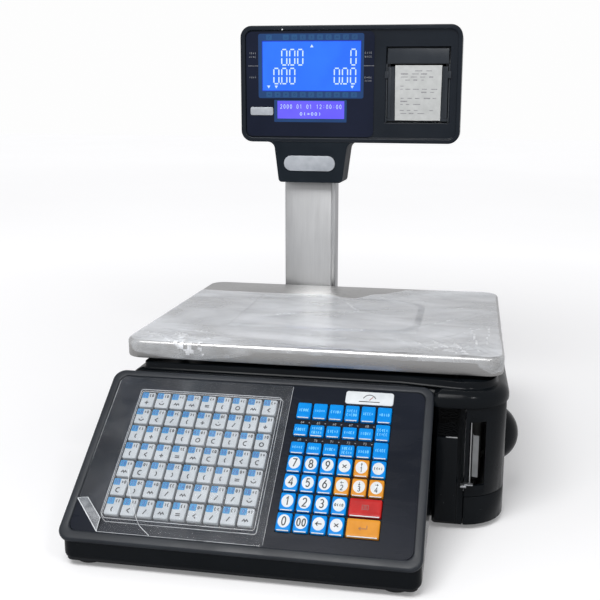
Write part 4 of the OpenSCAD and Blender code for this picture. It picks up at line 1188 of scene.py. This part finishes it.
def lcd_noughts(solid, text, right, base):
    """Row of seven-segment noughts that ends at right; a point in the text gives a point."""
    w, h, pitch, weight = 6.3, 18.4, 10.0, 1.5
    x = right - w - weight / 2
    for sign in reversed(text):
        if sign == ".":
            dot = rect(x + w + 1.3, base, x + w + 3.0, base + 1.8, 0.4, 2)
            solid.slab(dot, *LCD_LAYER, SEGMENT)
            continue
        for segment in NOUGHT:
            line = [(x + a * w, base + 0.8 + b * h) for a, b in segment]
            solid.ribbon(line, weight, *LCD_LAYER, SEGMENT)
        x -= pitch


def triangle(solid, x, z, size, up):
    """Small pointer on the main display."""
    way = size if up else -size
    pts = [(x - size * 0.6, z - way / 2), (x + size * 0.6, z - way / 2), (x, z + way / 2)]
    solid.slab(lambda inset: pts, *LCD_LAYER, SEGMENT)


def main_display():
    """Figures and pointers of the main display."""
    solid = Solid()
    for text, right, base in (("0.00", 51.3, 29.8), ("0", 117.0, 29.8), ("0.00", 41.3, 7.4),
                              ("0.00", 116.8, 7.4)):
        lcd_noughts(solid, text, right, base)
    triangle(solid, 61.7, 53.2, 3.4, True)
    for x in (7.6, 17.2, 111.9):
        triangle(solid, x, 4.2, 3.4, False)
    return solid.piece("display_figures", "base", "lcd_blue")


def date_display():
    """Two rows on the small display: figures, then plain marks."""
    rng = random.Random(8)
    width = date_high.x - date_low.x

    def place(x, z, out):
        return body_at(date_low.x + x, date_low.y - out, date_low.z + z)
    solid = Solid()
    layer = (place, -0.05, 0.1)
    figures(solid, "2000 01 01 12:00:00", width / 2, 12.2, 4.8, 0.48, layer, SEGMENT, pitch=0.86)
    scribble(solid, width / 2 - 14, 3.6, 28, 4.4, 6, rng, 0.62, layer, SEGMENT)
    return solid.piece("date_figures", "base", "lcd_violet")


def display_frames():
    """Coloured borders on the overlay with rows of small icon cells and faint legends."""
    rng = random.Random(21)
    solid = Solid()

    def ring(x0, z0, x1, z1, hole, r, look, out):
        outer, inner = rect(x0, z0, x1, z1, r, 4)(0), rect(*hole, 0.3, 4)(0)
        profile = [(outer, 0), (outer, out), (inner, out), (inner, 0)]
        solid.loft([[head_at(x, z, h) for x, z in pts] for pts, h in profile], look, loop=True)
    lcd = (lcd_low.x, lcd_low.z, lcd_high.x, lcd_high.z)
    small = (date_low.x, date_low.z, date_high.x, date_high.z)
    ring(lcd[0] - 5.2, lcd[1] - 9.3, lcd[2] + 3.9, lcd[3] + 9.3, lcd, 2.5, LCD_FRAME, 0.08)
    ring(lcd[0] - 0.6, lcd[1] - 0.9, lcd[2] + 0.6, lcd[3] + 0.9, lcd, 0.4, LCD_DARK, 0.12)
    ring(small[0] - 3.9, small[1] - 4.2, small[2] + 2.9, small[3] + 1.2, small, 1.0, LCD_FRAME, 0.1)
    for z in (lcd[1] - 8.0, lcd[3] + 1.8):
        for k in range(11):
            x = lcd[0] + 4.6 + k * 10.6
            if z > lcd[1] and k == 1:
                continue
            solid.slab(rect(x, z, x + 7.4, z + 6.2, 1.0, 2), head_at, 0.05, 0.12, LCD_ICON)
            strokes(solid, rng.choice(MARKS), x + 1.8, z + 1.2, 3.8, 3.8, 0.7, (head_at, 0.1, 0.17),
                    LCD_FRAME)
    for side, x in ((-1, lcd[0] - 17.0), (1, lcd[2] + 4.8)):
        for z in (lcd[1] + 43.5, lcd[1] + 39.0, lcd[1] + 14.5, lcd[1] + 10.5):
            if side < 0 and z == lcd[1] + 10.5:
                continue
            scribble(solid, x, z, 9.4, 2.4, 4, rng, 0.35, (head_at, -0.02, 0.06), LABEL_INK)
        rule = [(x - 1, lcd[1] + 29.5), (x + 11.5, lcd[1] + 29.5)]
        solid.ribbon(rule, 0.4, head_at, -0.02, 0.05, LABEL_INK)
    dot = arc((-89.2, 477.0), 0.9, 0, 360, 12)[:-1]
    head_y = span("head_front")[0].y
    solid.loft([[body_at(x, head_y - out, z) for x, z in dot] for out in (-0.3, 0.05)], WHITE_FACE_AND_HIGHLIGHT)
    return solid.piece("display_borders", "base", "navy_gloss")


# ---- receipt slip -------------------------------------------------------------------

def receipt_slip():
    """Short printed slip that hangs over the receipt door, with a slight curl and a torn end."""
    rng = random.Random(17)
    low, high = span("receipt_paper")
    left, right = low.x, high.x
    front = span("receipt_door")[0].y
    top, foot = high.z, low.z
    rows, cols = 24, 16

    def surface(a, b):
        """Point on the slip's face, a across and b down from the top, each from 0 to 1."""
        z = top - (top - foot) * b
        bow = 1.3 * math.sin(math.pi * min(b * 1.05, 1)) * (0.4 + 0.6 * a)
        bow += 0.7 * math.sin(math.pi * b) * (1 - a) ** 2 + 0.9 - 0.75 * b
        lean = 1.4 * b * (a - 0.5) * -1
        return Vector((left + (right - left) * a + lean, front - bow, z))

    def at(x, z, out):
        p = surface(x, z)
        return body_at(p.x, p.y - out, p.z)
    solid = Solid()
    rings = []
    for j in range(rows + 1):
        b = j / rows
        ragged = [0.006 * rng.random() if j == rows else 0.0 for _ in range(cols + 1)]
        face = [at(i / cols, b - ragged[i], 0.1) for i in range(cols + 1)]
        back = [at(i / cols, b - ragged[i], 0.0) for i in range(cols, -1, -1)]
        rings.append(face + back)
    lip = [[body_at(left + (right - left) * i / cols, y, top + dz) for i in range(cols + 1)]
           for y, dz in ((high.y, 0.05), ((high.y + front) / 2, 0.25))]
    over = [pts + [p - Vector((0, 0, 0.1 * MM)) for p in reversed(pts)] for pts in lip]
    solid.loft(over + rings, PAPER)
    for row in range(15):
        b = 0.10 + row * 0.055
        if row in (4, 8, 12):
            continue
        x = 0.09 + 0.06 * rng.random()
        while x < 0.86:
            w = 0.05 + 0.11 * rng.random()
            if rng.random() < 0.62:
                line = [(x, b), (min(x + w, 0.93), b)]
                weight = 0.015 if rng.random() < 0.75 else 0.024
                solid.ribbon(line, weight, at, 0.08, 0.13, PRINT)
            x += w + 0.04 + 0.05 * rng.random()
    return solid.piece("receipt_slip", "receipt_door", "paper_white", ["receipt_paper"])


# ---- build ------------------------------------------------------------------------

housing()
keypad_housing()
bezel()
lookup_keys()
function_keys()
command_keys()
for digits in ("123", "456", "789"):
    figure_keys("digit_keys_" + digits, "figure_keys_" + digits, digits)
for key, text in (("key_zero", "0"), ("key_double_zero", "00")):
    figure_keys(key, "figure_" + key, [text])
wide_key("wide_red_key", "wide_red_cap", "key_red", RED_KEY, "sheet", DEEP_RED)
wide_key("wide_orange_key", "wide_orange_cap", "key_orange", ORANGE_KEY, "return", BROWN_INK)
strip_labels()
name_plates()
clear_cover()
platter()
pan_film()
main_display()
date_display()
display_frames()
receipt_slip()
neck()
tear_shelf()
# CAD pieces that keep their shape: look, bevel in millimetres, bevel segments, names
FINISHES = [
    (SATIN, 0.5, 2, ["base_tray", "power_inlet"]),
    (BLACK, 0.5, 2, ["corner_panel", "printer_door"]),
    (BLACK, 0.8, 2, ["door_knob"]),
    (BLACK, 1.2, 3, ["head_rear"]),
    (HEAD, 1.2, 3, ["head_front"]),
    (HOOD, 0.4, 2, ["receipt_mechanism", "receipt_hood", "receipt_door"]),
    (NAVY, 0.0, 2, ["display_window"]),
    (NAVY, 0.3, 2, ["rear_window"]),
    (LCD, 0.0, 2, ["main_lcd"]),
    (LCD_VIOLET, 0.0, 2, ["date_lcd"]),
    (PLATE, 0.0, 2, ["key_plate"]),
    (BOARD, 0.0, 2, ["keypad_board"]),
    (BOARD, 0.2, 2, ["main_board", "display_board"]),
    (SILVER, 0.3, 2, ["load_cell", "peel_bar"]),
    (SILVER, 0.6, 2, ["pole"]),
    (ZINC, 0.0, 2, ["body_screws", "door_hinge_pin"]),
    (ZINC, 0.3, 2, ["io_ports"]),
    (ZINC, 0.5, 2, ["load_cell_blocks", "pan_carrier", "power_supply", "printer_chassis",
                    "label_print_head", "pole_bracket"]),
    (RUBBER, 0.5, 2, ["carrier_pads", "label_platen", "receipt_platen", "foot_front_left",
                      "foot_front_right", "foot_rear_left", "foot_rear_right"]),
    (SWITCH, 0.5, 2, ["power_switch"]),
    # Label strip: paper darkened to grey as painted shade
    (LABEL_SHADE, 0.0, 2, ["label_strip"]),
    (PAPER, 0.0, 2, ["label_roll", "receipt_roll"]),
]
for look, bevel, segments, names in FINISHES:
    for name in names:
        refine(name, look, bevel, segments)


# ---- floor, light and camera --------------------------------------------------

FLOOR_HALF = 12.0


def floor():
    """Plain pale floor, wide enough for every view, that fades into the backdrop through a painted
    glow that grows with distance from the middle.
    """
    look = Look("floor", Roughness=0.9, Specular_IOR_Level=0.1, Emission_Strength=1.0)
    dark, light = (0.80, 0.80, 0.805), (0.83, 0.83, 0.835)
    look.drive("Base Color", look.ramp(look.noise(900, 2), (0.3, dark), (0.7, light)))
    distance = look.node("VectorMath")
    distance.operation = "LENGTH"
    look.feed(distance.inputs[0], look.where)
    share = look.maths("DIVIDE", distance.outputs["Value"], FLOOR_HALF)
    # Painted light: the floor glows faintly near the middle and more strongly further out
    look.drive("Emission Color", look.ramp(share, (0.03, 0.16), (0.13, 0.47), (0.5, 0.54)))
    mesh = bpy.data.meshes.new("floor")
    corners = [(a * FLOOR_HALF, b * FLOOR_HALF, 0) for a, b in ((-1, -1), (1, -1), (1, 1), (-1, 1))]
    mesh.from_pydata(corners, [], [(0, 1, 2, 3)])
    mesh.materials.append(look.material)
    ground = add_object("floor", mesh)
    ground.visible_glossy = False


def softbox(name, place, aim, size, power):
    """Square area light that looks at a point."""
    data = bpy.data.lights.new(name, "AREA")
    data.shape = "SQUARE"
    data.size = size
    data.energy = power
    lamp = add_object(name, data)
    lamp.location = place
    lamp.rotation_euler = (Vector(aim) - Vector(place)).to_track_quat("-Z", "Y").to_euler()


def studio():
    """Soft pale surround with a large lamp in front overhead and a small one for the glints."""
    world = bpy.data.worlds.new("studio")
    world.use_nodes = True
    tree = world.node_tree
    lit = tree.nodes["Background"]
    seen = tree.nodes.new("ShaderNodeBackground")
    seen.inputs["Color"].default_value = (0.985, 0.985, 0.985, 1)
    where = tree.nodes.new("ShaderNodeTexCoord")
    split = tree.nodes.new("ShaderNodeSeparateXYZ")
    tree.links.new(where.outputs["Generated"], split.inputs[0])
    half = tree.nodes.new("ShaderNodeMath")
    half.operation = "MULTIPLY_ADD"
    half.inputs[1].default_value = 0.5
    half.inputs[2].default_value = 0.5
    tree.links.new(split.outputs["Z"], half.inputs[0])
    ramp = tree.nodes.new("ShaderNodeValToRGB")
    set_stops(ramp, [(place, (grey, grey, grey * 1.02)) for place, grey in
                     ((0.0, 0.25), (0.36, 0.56), (0.56, 0.60), (1.0, 0.50))])
    tree.links.new(half.outputs[0], ramp.inputs[0])
    tree.links.new(ramp.outputs[0], lit.inputs["Color"])
    path = tree.nodes.new("ShaderNodeLightPath")
    blend = tree.nodes.new("ShaderNodeMixShader")
    tree.links.new(path.outputs["Is Camera Ray"], blend.inputs[0])
    tree.links.new(lit.outputs[0], blend.inputs[1])
    tree.links.new(seen.outputs[0], blend.inputs[2])
    tree.links.new(blend.outputs[0], tree.nodes["World Output"].inputs[0])
    bpy.context.scene.world = world
    softbox("overhead_front", (-0.30, -1.0, 1.6), (0, 0, 0.15), 0.9, 22)
    softbox("glint", (0.75, -0.95, 1.25), (0.12, -0.1, 0.1), 0.16, 2.2)


CAMERA_PLACE = (0.14145, -0.86974, 0.37908)
CAMERA_TURN = (9.435, 11.182, 0.416)
FOCAL = 1.434929


def camera():
    """Camera at the shop view: a little right of the middle, turned left and down."""
    yaw, pitch, roll = [math.radians(turn) for turn in CAMERA_TURN]
    forward = Vector((-math.sin(yaw) * math.cos(pitch), math.cos(yaw) * math.cos(pitch),
                      -math.sin(pitch)))
    level = Vector((math.cos(yaw), math.sin(yaw), 0))
    rise = level.cross(forward)
    right = math.cos(roll) * level + math.sin(roll) * rise
    up = math.cos(roll) * rise - math.sin(roll) * level
    data = bpy.data.cameras.new("camera")
    data.sensor_width = 36
    data.lens = FOCAL * data.sensor_width
    data.shift_x = -0.0492
    data.shift_y = -0.0300
    data.clip_start = 0.05
    view = add_object("camera", data)
    turn = Matrix((right, up, -forward)).transposed().to_4x4()
    view.matrix_world = Matrix.Translation(CAMERA_PLACE) @ turn
    bpy.context.scene.camera = view


floor()
studio()
camera()
bpy.context.scene.view_settings.view_transform = "Standard"
